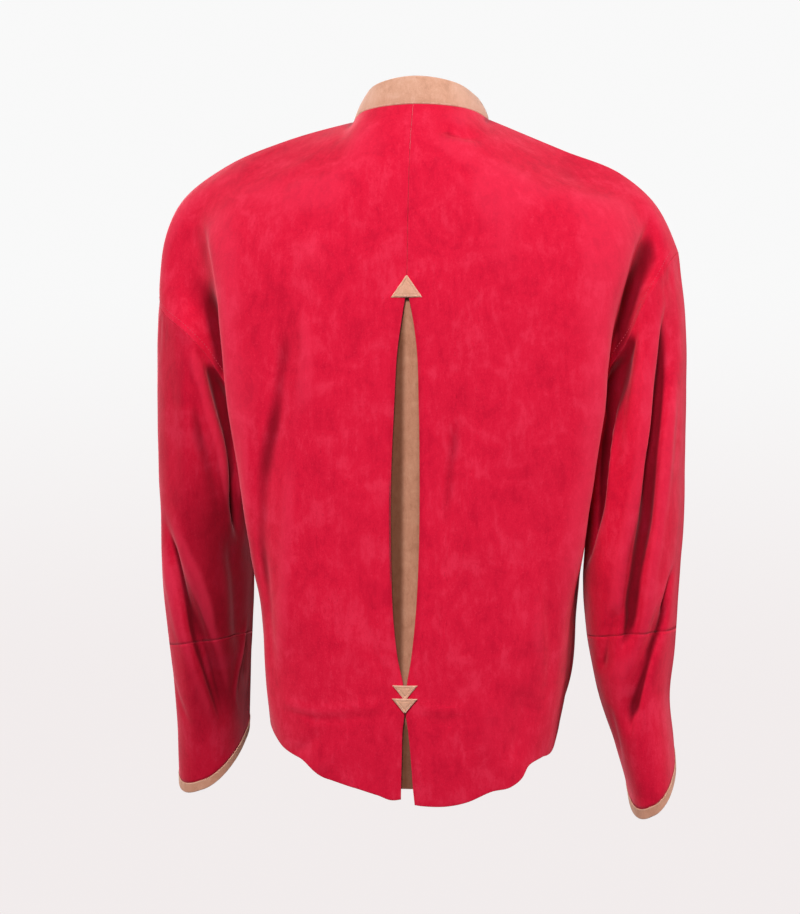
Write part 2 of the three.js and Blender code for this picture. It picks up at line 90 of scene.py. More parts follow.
def readTable(text, rowEnd="\n"):
    return np.array([row.split() for row in text.strip().split(rowEnd)], float)


def readFolds(text):
    rows = [row.split(":") for row in text.strip().split("\n")]
    return [((*map(float, shape.split()), usualFade)[:4], readTable(line, ",")) for shape, line in rows]


def through(points, steps, startsOnAxis=False):
    # cubic pieces through the points, the slope at each being that of the parabola through three points;
    # points run along the first axis, and a curve that starts on the axis is level there
    points = np.asarray(points, float)
    last = len(points) - 1
    chord = np.diff(points, axis=0)
    length = np.maximum(np.linalg.norm(chord, axis=-1, keepdims=True), 1e-6)
    chord = chord / length
    slope = np.zeros_like(points)
    slope[1:last] = (chord[:-1] * length[1:] + chord[1:] * length[:-1]) / (length[:-1] + length[1:])
    slope[0] = 1.5 * chord[0] - 0.5 * slope[1] if last > 1 else chord[0]
    slope[last] = 1.5 * chord[-1] - 0.5 * slope[last - 1] if last > 1 else chord[-1]
    if startsOnAxis:
        slope[0] = chord[0] * (1, 0, 0)
    piece = np.repeat(np.arange(last), steps)
    t = np.concatenate([np.arange(count) / count for count in steps])
    t = t.reshape((-1,) + (1,) * (points.ndim - 1))
    long = length[piece]
    curve = points[piece] * (1 + 2 * t) * (1 - t) ** 2 + slope[piece] * long * t * (1 - t) ** 2
    curve = curve + points[piece + 1] * t * t * (3 - 2 * t) - slope[piece + 1] * long * t * t * (1 - t)
    return np.concatenate([curve, points[last:]])


def tableCurve(table, column, level):
    # a smooth curve through one column of a table, read at any level; the first column is the level
    rows = table[np.argsort(table[:, 0])][:, [column, 0]]
    curve = through(rows, [curveSteps] * (len(rows) - 1))
    return np.interp(level, curve[:, 1], curve[:, 0])


def arcFrom(grid, axis):
    # distance along the grid's lines from their first point
    step = np.linalg.norm(np.diff(grid, axis=axis), axis=-1)
    pad = [(0, 0), (0, 0)]
    pad[axis] = (1, 0)
    return np.cumsum(np.pad(step, pad), axis=axis)


def borderDistance(grid, closed):
    # distance to the nearest border, along the grid's lines
    along = arcFrom(grid, 0)
    distance = np.minimum(along, along[-1:] - along)
    if not closed:
        across = arcFrom(grid, 1)
        distance = np.minimum(distance, np.minimum(across, across[:, -1:] - across))
    return distance


def gridNormals(grid, closed, inside):
    # across x along, turned away from the inside point
    if closed:
        across = np.roll(grid, -1, axis=1) - np.roll(grid, 1, axis=1)
    else:
        across = np.gradient(grid, axis=1, edge_order=2)
    along = np.gradient(grid, axis=0, edge_order=2)
    normals = unit(np.cross(across, along))
    middle = (grid.shape[0] // 2, grid.shape[1] // 4)
    turned = float(np.dot(normals[middle], grid[middle] - inside(grid[middle]))) < 0
    return (-normals if turned else normals), turned


def bodyAxis(at):
    return np.array([0, 0, at[2]])


underarmRow = 5
# centreY, centreZ, neckX, neckY, neckZ
spine = readTable("""
    125 -677 60 123 -663
    126 -612 60 125 -606
    125 -525 62 125 -522
    123 -445 64 124 -443
    122 -405 65 123 -403
    121 -375 66 123 -373
    119 -310 68 122 -308
    117 -245 70 120 -243
    114 -190 72 116 -187
    109 -135 74 110 -131
    101 -82 76 97 -78
    86 -33 76 62 -33
    64 6 69 0 0""")
rightHem = dict(centreZ=-682, neckZ=-678)
flank = dict(  # blade, crest, valley and edge, each x, y, z
    left=readTable("""
    103 112 -641 134 84 -624 149 42 -613 152 0 -602
    107 114 -594 140 86 -586 151 44 -580 156 0 -578
    110 116 -515 147 88 -508 156 46 -505 162 0 -505
    116 116 -441 161 88 -438 166 46 -440 165 0 -442
    119 116 -402 166 88 -401 166 47 -404 165 0 -405
    122 116 -371 170 87 -374 166 48 -384 172 0 -391
    126 115 -306 181 86 -310 168 54 -328 178 34 -345
    130 112 -238 192 84 -235 186 50 -266 190 48 -280
    132 108 -180 199 80 -180 207 46 -214 214 54 -240
    135 98 -125 206 70 -135 225 42 -170 234 58 -219
    138 78 -78 205 50 -92 239 33 -130 256 42 -203
    142 36 -44 204 26 -60 249 22 -98 269 20 -190
    143 0 -19 203 0 -43 251 0 -79 275 0 -182"""),
    right=readTable("""
    104 113 -662 131 86 -638 140 46 -622 140 0 -604
    107 115 -604 139 88 -592 148 44 -586 147 0 -584
    110 117 -518 150 90 -512 156 46 -508 157 0 -507
    116 117 -441 167 90 -440 163 48 -442 159 0 -444
    119 117 -402 173 89 -404 164 49 -404 161 0 -404
    122 117 -371 178 89 -376 168 50 -382 172 0 -389
    126 116 -306 188 88 -312 172 56 -322 178 36 -335
    130 113 -238 193 86 -258 182 55 -268 188 50 -275
    133 108 -182 198 82 -210 201 46 -222 207 50 -234
    137 98 -130 209 74 -170 217 42 -186 226 56 -198
    140 78 -86 218 54 -125 233 33 -146 242 46 -172
    144 36 -58 213 26 -84 240 24 -108 255 24 -149
    147 0 -34 205 0 -59 236 0 -86 262 0 -138"""))
# centreY, centreZ, neckX, neckY, neckZ, bladeX, bladeY, bladeZ
chest = readTable("""
    -108 -614 60 -107 -612 108 -97 -608
    -110 -582 62 -109 -581 110 -99 -580
    -112 -510 64 -111 -509 113 -101 -507
    -113 -445 66 -112 -444 118 -102 -443
    -113 -408 67 -112 -407 120 -103 -406
    -113 -378 68 -112 -377 122 -103 -376
    -112 -320 70 -111 -316 126 -102 -312
    -110 -262 72 -108 -256 130 -98 -250
    -106 -215 74 -102 -206 133 -90 -196
    -100 -168 75 -93 -158 136 -77 -144
    -92 -125 76 -76 -108 140 -56 -95
    -80 -88 75 -46 -60 143 -28 -55
    -66 -52 69 0 0 144 0 -21""")
frontMirror = dict(crestX=0.97, crestY=-0.86, valleyY=-0.9, edgeY=-0.88)  # of the back's flank
# level, half width on the wearer's left and right
opening = readTable("""
    -183 0 0
    -210 4.5 5.5
    -234 8 9
    -300 12 12
    -368 14.6 13
    -440 14.4 12.5
    -513 11 8.5
    -544 7 5
    -568 1.5 1.2
    -580 0.3 0.3
    -593 0.3 0.3
    -610 2.4 2.4
    -635 3.2 4.8
    -668 4.2 7.3
    -690 4.6 9.8""")
# shade is the depth of the painted shadow on the underlay
pleat = dict(stripHalfWidth=36, stripLevels=(-668, -176), depth=5, turnIn=2.4, fadeWidth=60, rollWidth=5,
             shade=6.4)
sleeve = dict(  # sections: level, outer, inner, back, front
    left=dict(
        sections=readTable("""
        -150 274 168 60 -52
        -250 277 168 64 -56
        -330 274 173 66 -58
        -400 269 177 66 -58
        -470 266 178 64 -60
        -530 261 180 58 -62
        -590 256 184 48 -66
        -640 255 187 38 -68
        -700 256 190 28 -72"""),
        # the last pair is the sleeve's base and extra share of painted shade
        elbow=(-534, -6, 0), cuff=(-658, -17, -30), tone=(0.24, 0.62),
        folds=[((42, 131), (-395, -632), 10, 8), ((106, 156), (-235, -445), 9, 8),
               ((84, 138), (-215, -400), 11, -4)]),
    right=dict(
        sections=readTable("""
        -120 262 168 58 -52
        -220 272 169 64 -56
        -330 270 173 66 -58
        -400 267 171 66 -60
        -470 263 166 64 -60
        -530 259 172 58 -62
        -590 254 183 52 -70
        -640 258 200 46 -76
        -700 262 214 40 -80
        -730 263 217 36 -84"""),
        elbow=(-522, 4, 0), cuff=(-676, 17, -27), tone=(0, 0.08),
        folds=[((48, 94), (-219, -478), 11, 7), ((43, 112), (-475, -632), 9, 6),
               ((100, 140), (-490, -565), 9, 5), ((108, 158), (-240, -455), 8, 8)]))
sleeveRows = (99, 48, 7)  # from the armhole to the elbow join, the binding and the cuff
sleeveMiddle = 222
# where the sleeves' painted shade rises and falls, by angle and by level
paintedShadeSpan = dict(anglesRise=(50, 70), anglesFall=(200, 50), levelsRise=(-290, 140), levelsFall=(-585, 60),
                fallShare=0.85)
reliefGain = 1.6
boxiness = 2.3
armholeFade = 0.8
bindingWidth = 10.5
collarShape = dict(scaleX=0.83, scaleY=0.89, riseSide=23, riseEnds=7, halfDepth=66, bow=1.6)

acrossSteps = [22, 10, 15, 18, 18, 15]  # centre, neck curve, neck, blade, crest, valley, edge
hemWave = dict(  # distance from the centre, how far the hem is drawn up
    left=readTable("0 0.5, 14 -1, 27 3, 43 4, 59 -1, 72 -4, 82 -6, 92 -5, 103 -2, 114 -3.5, 126 -4, 140 0,"
                   "170 0", ","),
    right=readTable("0 0, 60 -1, 84 2.4, 103 -1.6, 112 0, 117 6, 129 1, 138 -6, 143 -2, 170 0", ","))
fineness = 6
alongSteps = [count * fineness for count in (3, 3, 3, 2, 1, 2, 2, 2, 2, 2, 2, 2)]
lap = dict(columns=11, width=24, lift=0.1)
hemFade = dict(up=55, side=30)
dressFade = dict(armhole=45, side=16, top=16, centre=12)
gathers = dict(counts=(17, 23, 31), height=0.28, rise=10, fall=26, seeds=dict(left=11, right=12))
firstArmholeRow = sum(alongSteps[:underarmRow])

# Each fold is a soft ridge (+) or trough (-): height, width on its two sides, the share of its length that
# fades at each end where it isn't the usual one, then the points of its line.
backFolds = dict(  # x, z along the back
    left=readFolds("""
    -6 12 7 0.3: 230 -84, 222 -112, 213 -145, 205 -185, 200 -225, 195 -268, 188 -310
    2 9 12: 182 -120, 183 -170, 181 -230, 175 -300
    -4.2 13 12 0.25: 117 -170, 124 -251, 130 -300, 139 -345, 145 -385, 147 -430, 145 -500, 141 -560
    2.6 8 7: 103 -190, 98 -256, 104 -310
    2.8 9 9: 108 -320, 117 -427, 121 -506, 124 -580
    1.6 6 6: 163 -290, 163 -360, 161 -430
    -2 7 7: 156 -400, 142 -490, 136 -560, 132 -610
    -1.1 13 16: 72 -320, 70 -400, 76 -480, 88 -560
    1.5 3.5 4 0.15: 128 -586, 90 -594, 52 -591, 14 -588
    -1.2 4 4: 124 -592, 88 -601, 52 -598, 16 -595
    -1.5 6 6: 120 -640, 98 -628, 80 -606
    1.2 7 6: 96 -660, 74 -640, 62 -614
    -1 6 6: 34 -470, 30 -540, 12 -570
    -1.4 9 12: 60 -30, 104 -60, 150 -80
    -1.2 13 11: 84 -86, 110 -120, 128 -180"""),
    right=readFolds("""
    -5 4.5 11 0.26: -240 -92, -233 -118, -226 -144, -216 -178, -209 -208, -202 -240, -192 -285
    2.4 11 9: -196 -150, -193 -200, -188 -260, -180 -330
    -5 5 8: -20 -18, -44 -26, -76 -30
    -1.3 4 6: -16 -40, -38 -54, -60 -80
    1.1 4 4: -26 -34, -46 -62, -58 -96
    -1.1 3 3: -113 -42, -116 -58
    -2.4 7 8: -45 -280, -46 -330, -41 -380, -38 -442
    1 8 8: -66 -330, -60 -400, -52 -460
    -2.2 5 6: -133 -450, -138 -500, -137 -560, -130 -600
    1.4 6 6: -122 -440, -126 -500, -124 -560
    1.5 3.5 4 0.2: -12 -588, -36 -591, -60 -588
    -1.2 4 4: -12 -596, -36 -599, -58 -596
    -2.4 9 12: -112 -560, -110 -610, -94 -650
    1.4 9 9: -76 -566, -78 -610, -70 -650
    -0.9 10 12: -104 -300, -104 -380, -98 -480
    -1 6 6: -30 -470, -26 -540, -10 -570
    -1.2 12 9: -66 -30, -110 -62, -160 -84"""))
frontFolds = dict(  # x, z along the front
    left=readFolds("""
    -10 8 11 0.22: 236 -96, 220 -140, 204 -200, 194 -262
    1.8 12 9: 118 -180, 112 -320, 106 -450, 102 -590
    -2 14 12: 70 -110, 96 -180, 110 -270
    -2.4 9 11: 136 -300, 128 -420, 124 -560
    -1.3 6 7: 44 -420, 70 -450, 104 -456
    -1.6 6 7: 150 -400, 128 -446, 96 -470
    1.2 4 5: 30 -560, 60 -572, 100 -566"""),
    right=readFolds("""
    -10 11 8 0.22: -240 -96, -224 -140, -208 -195, -198 -252
    1.6 10 12: -120 -190, -116 -330, -108 -460, -100 -590
    -1.8 14 12: -66 -120, -94 -190, -112 -280
    -2.2 10 9: -138 -320, -130 -430, -124 -570
    -1.5 6 7: -152 -410, -126 -440, -88 -452
    -1 9 9: -46 -300, -60 -380, -56 -470"""))
sleeveFolds = dict(  # angle (0 outer side, 90 back, 180 inner side, 270 front) and level
    left=readFolds("""
    -6 13 9 0.2: 102 -226, 110 -258, 120 -298, 134 -335, 142 -370, 152 -405, 164 -440
    3 9 11 0.3: 84 -222, 101 -262, 112 -294, 125 -330, 134 -364, 140 -396
    -6 17 14 0.3: 124 -410, 138 -440, 148 -490, 154 -560
    -3.2 3.5 5: 34 -400, 53 -432, 65 -460, 74 -490, 83 -527, 95 -563, 110 -600, 130 -640
    2.6 9 8: 56 -400, 76 -440, 94 -480, 104 -520, 112 -556
    2.2 8 8: 28 -430, 48 -470, 62 -520, 76 -570
    2 3 4: 176 -500, 163 -538, 148 -569, 144 -593, 158 -616
    -1.8 6 6: 176 -520, 170 -560, 164 -590
    -1.6 10 10: 60 -230, 66 -330, 70 -420
    -1.6 7 6: 20 -560, 50 -600, 80 -628
    -3.4 5 6: 200 -480, 230 -530, 270 -548
    -2.6 5 5: 196 -540, 232 -572, 276 -590
    -3.2 9 7: 300 -300, 290 -400, 282 -500
    2.6 9 8: 320 -330, 312 -430, 300 -540, 280 -610
    -12 8 9 0.18: 256 -226, 248 -262, 236 -310, 224 -370, 206 -430
    -1.8 8 8: 340 -250, 350 -360, 356 -480"""),
    right=readFolds("""
    -9 12 12 0.16: 92 -165, 100 -205, 107 -235, 114 -270, 122 -305, 131 -345, 140 -395, 154 -430, 170 -470
    3.2 10 10: 84 -220, 92 -290, 104 -360, 114 -420
    -11 6 15 0.16: 36 -183, 46 -220, 52 -269, 60 -300, 72 -348, 78 -402, 84 -440, 88 -477, 98 -531, 108 -556
    4 8 8 0.25: 28 -240, 38 -290, 48 -340, 58 -390, 66 -440, 72 -490, 84 -545
    2.6 8 9: 62 -230, 72 -300, 86 -380, 98 -450, 104 -500
    -5 4 6 0.2: 26 -446, 42 -478, 48 -505, 64 -537, 80 -575, 108 -625
    2.2 6 5: 58 -520, 74 -560, 92 -600, 104 -640
    -1.8 6 7: 102 -496, 109 -528, 120 -551, 139 -560
    -1.6 7 7: 128 -590, 140 -620, 150 -655
    -1.4 10 10: 10 -300, 16 -400, 20 -500
    -3.4 5 6: 200 -470, 232 -520, 272 -540
    -2.6 5 5: 196 -530, 232 -568, 276 -590
    -12 8 9 0.18: 258 -215, 250 -252, 238 -305, 226 -365, 208 -430
    -3.2 9 7: 300 -290, 288 -390, 280 -490
    2.6 9 8: 322 -330, 312 -430, 298 -540, 280 -620"""))
foldShade = dict(  # painted shade that lies under a fold's edge; the height is the depth of the shade
    back_left=readFolds("""
    -2.6 9 5 0.36: 228 -95, 224 -113, 217 -134, 209 -159, 205 -216, 201 -252, 192 -330
    -2.1 15 11 0.25: 128 -262, 136 -310, 141 -340, 148 -368, 149 -407, 145 -450, 139 -500"""),
    back_right=readFolds("""
    -2.2 3 9 0.3: -232 -110, -226 -132, -220 -154, -212 -183, -206 -219, -198 -265
    -2.2 5 5 0.3: -45 -15, -62 -19, -80 -27
    -1.6 4 4: -38 -46, -50 -43, -62 -37
    -1.1 2.5 2.5 0.3: -27 -38, -44 -58, -64 -84"""),
    sleeve_left=readFolds("""
    -3.5 12 10 0.15: 106 -240, 116 -270, 126 -298, 134 -346, 142 -380
    -3.4 9 15 0.24: 78 -262, 86 -291, 98 -330, 109 -368, 121 -407, 140 -440
    -3.4 3 8 0.4: 60 -470, 70 -490, 81 -524, 94 -562, 110 -600, 124 -628, 140 -660"""),
    sleeve_right=readFolds("""
    -4.5 14 12 0.12: 96 -205, 106 -235, 112 -254, 118 -289, 139 -346, 152 -379, 178 -411
    -4.6 4 16 0.2: 40 -190, 50 -220, 58 -292, 77 -348, 82 -402, 90 -477, 102 -531, 110 -560
    -3.5 4 12 0.15: 26 -460, 36 -488, 47 -515, 64 -547, 88 -585, 100 -610"""))
ripple = dict(length=(70, 170), height=0.9, fineLength=(22, 50), fineHeight=0.22, seed=7, waves=16)


def foldHeight(u, v, folds):
    # sum over folds of height * exp(-(distance / width)^2) * smooth(ends), distance being that to the line
    total = np.zeros(u.shape)
    for (height, widthLeft, widthRight, fadeShare), points in folds:
        line = through(points, [foldSteps] * (len(points) - 1))
        nearest = np.full(u.shape, np.inf)
        signed = np.zeros(u.shape)
        place = np.zeros(u.shape)
        start = 0.0
        for a, b in zip(line[:-1], line[1:]):
            step = b - a
            length = np.hypot(*step)
            t = np.clip(((u - a[0]) * step[0] + (v - a[1]) * step[1]) / length ** 2, 0, 1)
            away = np.hypot(u - a[0] - t * step[0], v - a[1] - t * step[1])
            side = step[0] * (v - a[1]) - step[1] * (u - a[0])
            closer = away < nearest
            nearest = np.where(closer, away, nearest)
            signed = np.where(closer, side, signed)
            place = np.where(closer, start + t * length, place)
            start += length
        width = np.where(signed > 0, widthLeft, widthRight)
        reach = fadeShare * start
        fade = smooth(place / reach) * smooth((start - place) / reach)
        total += height * fade * np.exp(-(nearest / width) ** 2)
    return total


def undulation(points, lengths, height, seed):
    # height * mean of seeded sine waves of position, wave lengths between the two lengths
    source = np.random.default_rng(seed)
    heading = unit(source.normal(size=(ripple["waves"], 3)) * (1.2, 1.2, 0.7))
    length = source.uniform(*lengths, ripple["waves"])
    phase = source.uniform(0, 2 * math.pi, ripple["waves"])
    waves = np.sin(2 * math.pi * (points @ heading.T) / length + phase)
    return height * waves.sum(axis=-1) / math.sqrt(ripple["waves"])


def softRipple(points):
    coarse = undulation(points, ripple["length"], ripple["height"], ripple["seed"])
    return coarse + undulation(points, ripple["fineLength"], ripple["fineHeight"], ripple["seed"] + 1)


def panelGrid(sideName, isFront):
    # rows of seven points (centre, quarter ellipse, neck, blade, crest, valley, edge) lofted both ways
    sign = 1 if sideName == "left" else -1
    side = flank[sideName]
    centre = (chest[:, :5] if isFront else spine).copy()
    if not isFront and sideName == "right":
        centre[0, 1], centre[0, 4] = rightHem["centreZ"], rightHem["neckZ"]
    blade = chest[:, 5:8].copy() if isFront else side[:, 0:3].copy()
    crest, valley, edge = side[:, 3:6].copy(), side[:, 6:9].copy(), side[:, 9:12].copy()
    if isFront:
        crest[:, 0] *= frontMirror["crestX"]
        crest[:, 1] *= frontMirror["crestY"]
        valley[:, 1] *= frontMirror["valleyY"]
        edge[:, 1] *= frontMirror["edgeY"]
        crest[0, 2], valley[0, 2] = edge[0, 2] - 4, edge[0, 2] - 1
        blade[-1], crest[-1], valley[-1], edge[-1] = side[-1].reshape(4, 3)
    half = math.sqrt(0.5)
    axis = np.stack([np.zeros(len(centre)), centre[:, 0], centre[:, 1]], axis=1)
    neck = centre[:, 2:5]
    curve = np.stack([half * neck[:, 0], neck[:, 1] + half * (axis[:, 1] - neck[:, 1]),
                      neck[:, 2] + half * (axis[:, 2] - neck[:, 2])], axis=1)
    rows = np.stack([axis, curve, neck, blade, crest, valley, edge])
    across = through(rows, acrossSteps, True)
    top = rows[:, -1]
    corner = np.concatenate([through(top[:3], acrossSteps[:2], True)[:-1], through(top[2:], acrossSteps[2:])])
    across[:, -1] = corner
    grid = through(across.transpose(1, 0, 2), alongSteps)
    return grid * (sign, 1, 1)


def joinSides(back, front):
    # below the underarm back and front share one side seam; the difference fades over the last columns
    middle = (back[:firstArmholeRow + 1, -1] + front[:firstArmholeRow + 1, -1]) / 2
    for grid in (back, front):
        weight = np.linspace(0, 1, 8)[None, :, None]
        grid[:firstArmholeRow + 1, -8:] += (middle - grid[:firstArmholeRow + 1, -1])[:, None] * weight


def openPleat(grid, column, sign):
    # x grows by half width * (1 - |x| / fade)^2, and the edge rolls in by turnIn * exp(-(x / roll)^2)
    half = tableCurve(opening, column, grid[:, 0, 2])[:, None]
    x = np.abs(grid[:, :, 0])
    opened = grid.copy()
    opened[:, :, 0] += sign * half * np.maximum(0, 1 - x / pleat["fadeWidth"]) ** 2
    rolled = pleat["turnIn"] * np.minimum(1, half / 6) * np.exp(-(x / pleat["rollWidth"]) ** 2)
    opened[:, :, 1] -= rolled
    return opened


def waveHem(grid, table):
    # z grows by the table's value at |x|, fading upwards and towards the side seam
    up, across = arcFrom(grid, 0), arcFrom(grid, 1)
    fade = (1 - smooth(up / hemFade["up"])) * smooth((across[:, -1:] - across) / hemFade["side"])
    waved = grid.copy()
    waved[:, :, 2] += tableCurve(table, 1, np.abs(grid[:, :, 0])) * fade
    return waved


def lapFront(grid, over):
    # mirrored columns past the centre; the upper layer is lifted along its normals near the centre
    past = grid[:, lap["columns"]:0:-1] * (-1, 1, 1)
    wide = np.concatenate([past, grid], axis=1)
    if not over:
        return wide
    normals, _ = gridNormals(wide, False, bodyAxis)
    near = 1 - smooth((np.abs(wide[:, :, 0]) - lap["width"]) / lap["width"])
    up = unit(wide[-1] - wide[-2])
    wide = wide + normals * (wall["suede"] + seamGap + lap["lift"]) * near[:, :, None]
    wide[-1] -= up * near[-1][:, None]
    return wide


def dress(grid, folds):
    # moves a panel along its normals by its folds and ripple, which fade at the centre, the shoulder and the
    # side seam, and run on over the armhole seam and the hem
    normals, _ = gridNormals(grid, False, bodyAxis)
    up, across = arcFrom(grid, 0), arcFrom(grid, 1)
    onEdge, over = up[:, -1:], dressFade["armhole"]
    armhole = smooth((onEdge - onEdge[firstArmholeRow]) / over) * smooth((onEdge[-1] - onEdge) / over)
    side = smooth((across[:, -1:] - across) / dressFade["side"])
    fade = smooth(across / dressFade["centre"]) * smooth((up[-1:] - up) / dressFade["top"])
    fade *= side + (1 - side) * armhole
    height = (foldHeight(grid[:, :, 0], grid[:, :, 2], folds) + softRipple(grid)) * fade
    return grid + normals * height[:, :, None]


panels = {}
for sideName in ("left", "right"):
    back = panelGrid(sideName, False)
    front = panelGrid(sideName, True)
    joinSides(back, front)
    panels[sideName] = dict(back=back, front=front, sign=1 if sideName == "left" else -1)
centreLine = panels["left"]["back"][:, 0]
chestLine = panels["left"]["front"][:, 0]
print("body panels worked out")


def onBack(x, level, out):
    # the back near its centre: the centre line's depth less the fall of a quarter ellipse, moved out
    row = np.clip(np.searchsorted(spine[:, 1], level), 1, len(spine) - 1)
    below, above = spine[row - 1], spine[row]
    t = np.clip((level - below[..., 1]) / (above[..., 1] - below[..., 1]), 0, 1)

    def fall(part):
        bend = np.sqrt(np.maximum(0, 1 - (x / part[..., 2]) ** 2))
        return (part[..., 0] - part[..., 3]) * (1 - bend)
    drop = fall(below) * (1 - t) + fall(above) * t
    depth = np.interp(level, centreLine[:, 2], centreLine[:, 1])
    return np.stack([x, depth - drop + out, level], axis=-1)


def ringFolds(degrees, level, folds):
    # folds round a sleeve, each also read one turn to either side
    return sum(foldHeight(degrees + turn, level, folds) for turn in (-360, 0, 360))


def pucker(degrees, along, sideName):
    # small gathers that run down from the armhole seam: sine waves round the ring, fading along the sleeve
    source = np.random.default_rng(gathers["seeds"][sideName])
    total = sum(np.sin(np.radians(degrees * count) + source.uniform(0, 6.28)) for count in gathers["counts"])
    return gathers["height"] * total * smooth(along / gathers["rise"]) * np.exp(-along / gathers["fall"])


def sleevePaintedShade(degrees, level, base, more):
    # share of painted shade: a base, more on the inner half from armhole to cuff, none more on the far side
    rise, fall = paintedShadeSpan["anglesRise"], paintedShadeSpan["anglesFall"]
    inner = smooth((degrees - rise[0]) / rise[1]) * (1 - smooth((degrees - fall[0]) / fall[1]))
    top, low = (smooth((at - level) / over) for at, over in (paintedShadeSpan["levelsRise"], paintedShadeSpan["levelsFall"]))
    return base + more * inner * top * (1 - paintedShadeSpan["fallShare"] * low)


def standing(grid, normals, closed, sigma=5):
    # how far a point stands out of its surroundings: (point - mean) . normal, the mean being a Gaussian one
    reach = 3 * sigma
    share = np.exp(-0.5 * (np.arange(-reach, reach + 1) / sigma) ** 2)
    share /= share.sum()
    mean = grid
    for axis in (0, 1):
        pad = [(0, 0), (0, 0), (0, 0)]
        pad[axis] = (reach, reach)
        how = dict(mode="wrap") if closed and axis == 1 else dict(mode="reflect", reflect_type="odd")
        padded = np.pad(mean, pad, **how)
        at = np.arange(grid.shape[axis])
        mean = sum(part * np.take(padded, at + k, axis) for k, part in enumerate(share))
    return reliefGain * np.sum((grid - mean) * normals, axis=-1)


def sleeveGrids(sideName, panel):
    # rings at levels from the armhole through the elbow join to the cuff, each a rounded box
    # |cos|^(2/b), |sin|^(2/b) between outer, inner, back and front; the armhole's own shape fades out
    own = sleeve[sideName]
    backEdge = panel["back"][firstArmholeRow:, -1][::-1]
    armhole = np.concatenate([backEdge[:-1], panel["front"][firstArmholeRow:-1, -1]])
    turn = np.arange(len(armhole)) * math.pi / (len(backEdge) - 1)

    def rounded(value):
        return np.sign(value) * np.abs(value) ** (2 / boxiness)

    def outline(level):
        outer, inner, behind, ahead = (tableCurve(own["sections"], k, level) for k in (1, 2, 3, 4))
        halfX = (outer - inner) / 2
        halfY = (behind - ahead) / 2
        swell = np.zeros(level.shape)
        for angles, levels, width, depth in own["folds"]:
            t = (level - levels[0]) / (levels[1] - levels[0])
            onFold = np.radians(angles[0] + (angles[1] - angles[0]) * t)
            away = (turn - onFold) * (halfX + halfY) / 2
            ends = smooth(t / 0.25) * smooth((1 - t) / 0.25)
            swell = swell - depth * ends * np.exp(-(away / width) ** 2)
        x = (outer + inner) / 2 + (halfX + swell) * rounded(np.cos(turn))
        y = (behind + ahead) / 2 + (halfY + swell) * rounded(np.sin(turn))
        return np.stack([panel["sign"] * x, y, level], axis=-1)

    def plane(level, outward, backward):
        return level + outward * np.cos(turn) + backward * np.sin(turn)

    cuffLevel, *lean = own["cuff"]
    marks = [armhole[:, 2], plane(*own["elbow"]), plane(cuffLevel + bindingWidth, *lean),
             plane(cuffLevel, *lean)]
    levels = [low + (high - low) * np.linspace(0, 1, count + 1)[:, None]
              for low, high, count in zip(marks, marks[1:], sleeveRows)]
    fade = 1 - smooth(np.linspace(0, 1, sleeveRows[0] + 1) / armholeFade)[:, None, None]
    upper = outline(levels[0]) + (armhole - outline(armhole[:, 2])) * fade
    whole = np.concatenate([upper, outline(levels[1])[1:], outline(levels[2])[1:]])
    normals, _ = gridNormals(whole, True, sleeveAxis(panel))
    degrees = np.broadcast_to(np.degrees(turn), whole.shape[:2])
    height = ringFolds(degrees, whole[:, :, 2], sleeveFolds[sideName])
    along = arcFrom(whole, 0)
    height += softRipple(whole) + pucker(degrees, along, sideName)
    height *= smooth(along / 16) * (0.25 + 0.75 * smooth((along[-1:] - along) / 22))
    whole = whole + normals * height[:, :, None]
    relief = standing(whole, normals, True)
    # painted shade under the sleeve's fold edges joins the relief
    relief += ringFolds(degrees, whole[:, :, 2], foldShade[f"sleeve_{sideName}"])
    # share of painted shade round the sleeve
    tone = sleevePaintedShade(degrees, whole[:, :, 2], *own["tone"])
    ends = np.cumsum((0,) + sleeveRows)
    return [[values[first:last + 1] for values in (whole, relief, tone)]
            for first, last in zip(ends, ends[1:])]


pieces = []


def addPiece(name, grid, thickness, inside, group, look, closed=False, relief=None, tone=0.0, puff=0.0,
             rim=(0.9, 0.9), flatLoop=None, gap=closedSeam):
    normals, turned = gridNormals(grid, closed, inside)
    relief = standing(grid, normals, closed) if relief is None else relief
    pieces.append(dict(name=name, grid=grid, thickness=thickness, group=group, look=look, closed=closed,
                       normals=normals, turned=turned, relief=relief, puff=puff, rim=rim,
                       flatLoop=flatLoop, gap=gap, tone=np.broadcast_to(tone, grid.shape[:2])))


def sleeveAxis(panel):
    return lambda at: np.array([panel["sign"] * sleeveMiddle, 0, at[2]])


def behind(at):
    # a point inside the body, straight in from the back
    return at - (0, 50, 0)


tabLook = dict(stitchInset=2.6, pointHalfWidth=0.6, lift=0.15, rows=34, columns=41)
tabs = dict(  # half width, height, level of the wide edge, 1 where it points up, layer
    tab_top=(15.5, 21.5, -191, 1, 0), tab_middle=(12.4, 14, -566.5, -1, 0),
    tab_bottom=(12.6, 14, -579, -1, 1))


def tabOut(layer):
    return wall["suede"] / 2 + wall["tab"] / 2 + seamGap + tabLook["lift"] + layer * (wall["tab"] + seamGap)


def tabSurface(halfWidth, tall, wideLevel, points, layer):
    # rows narrow from the wide edge to the point; the face is puffed, with a groove where it is stitched
    t, share = np.meshgrid(np.linspace(0, 1, tabLook["rows"]), np.linspace(-1, 1, tabLook["columns"]),
                           indexing="ij")
    half = halfWidth + (tabLook["pointHalfWidth"] - halfWidth) * t
    fromSide = (half - np.abs(share) * half) * tall / math.hypot(tall, halfWidth)
    fromEdge = np.minimum(fromSide, tall * t)
    puff = 0.35 * smooth(fromEdge / 2) - 0.5 * np.exp(-((fromEdge - tabLook["stitchInset"]) / 0.7) ** 2)
    return onBack(share * half, wideLevel + points * tall * t, tabOut(layer)), puff[:, :, None]


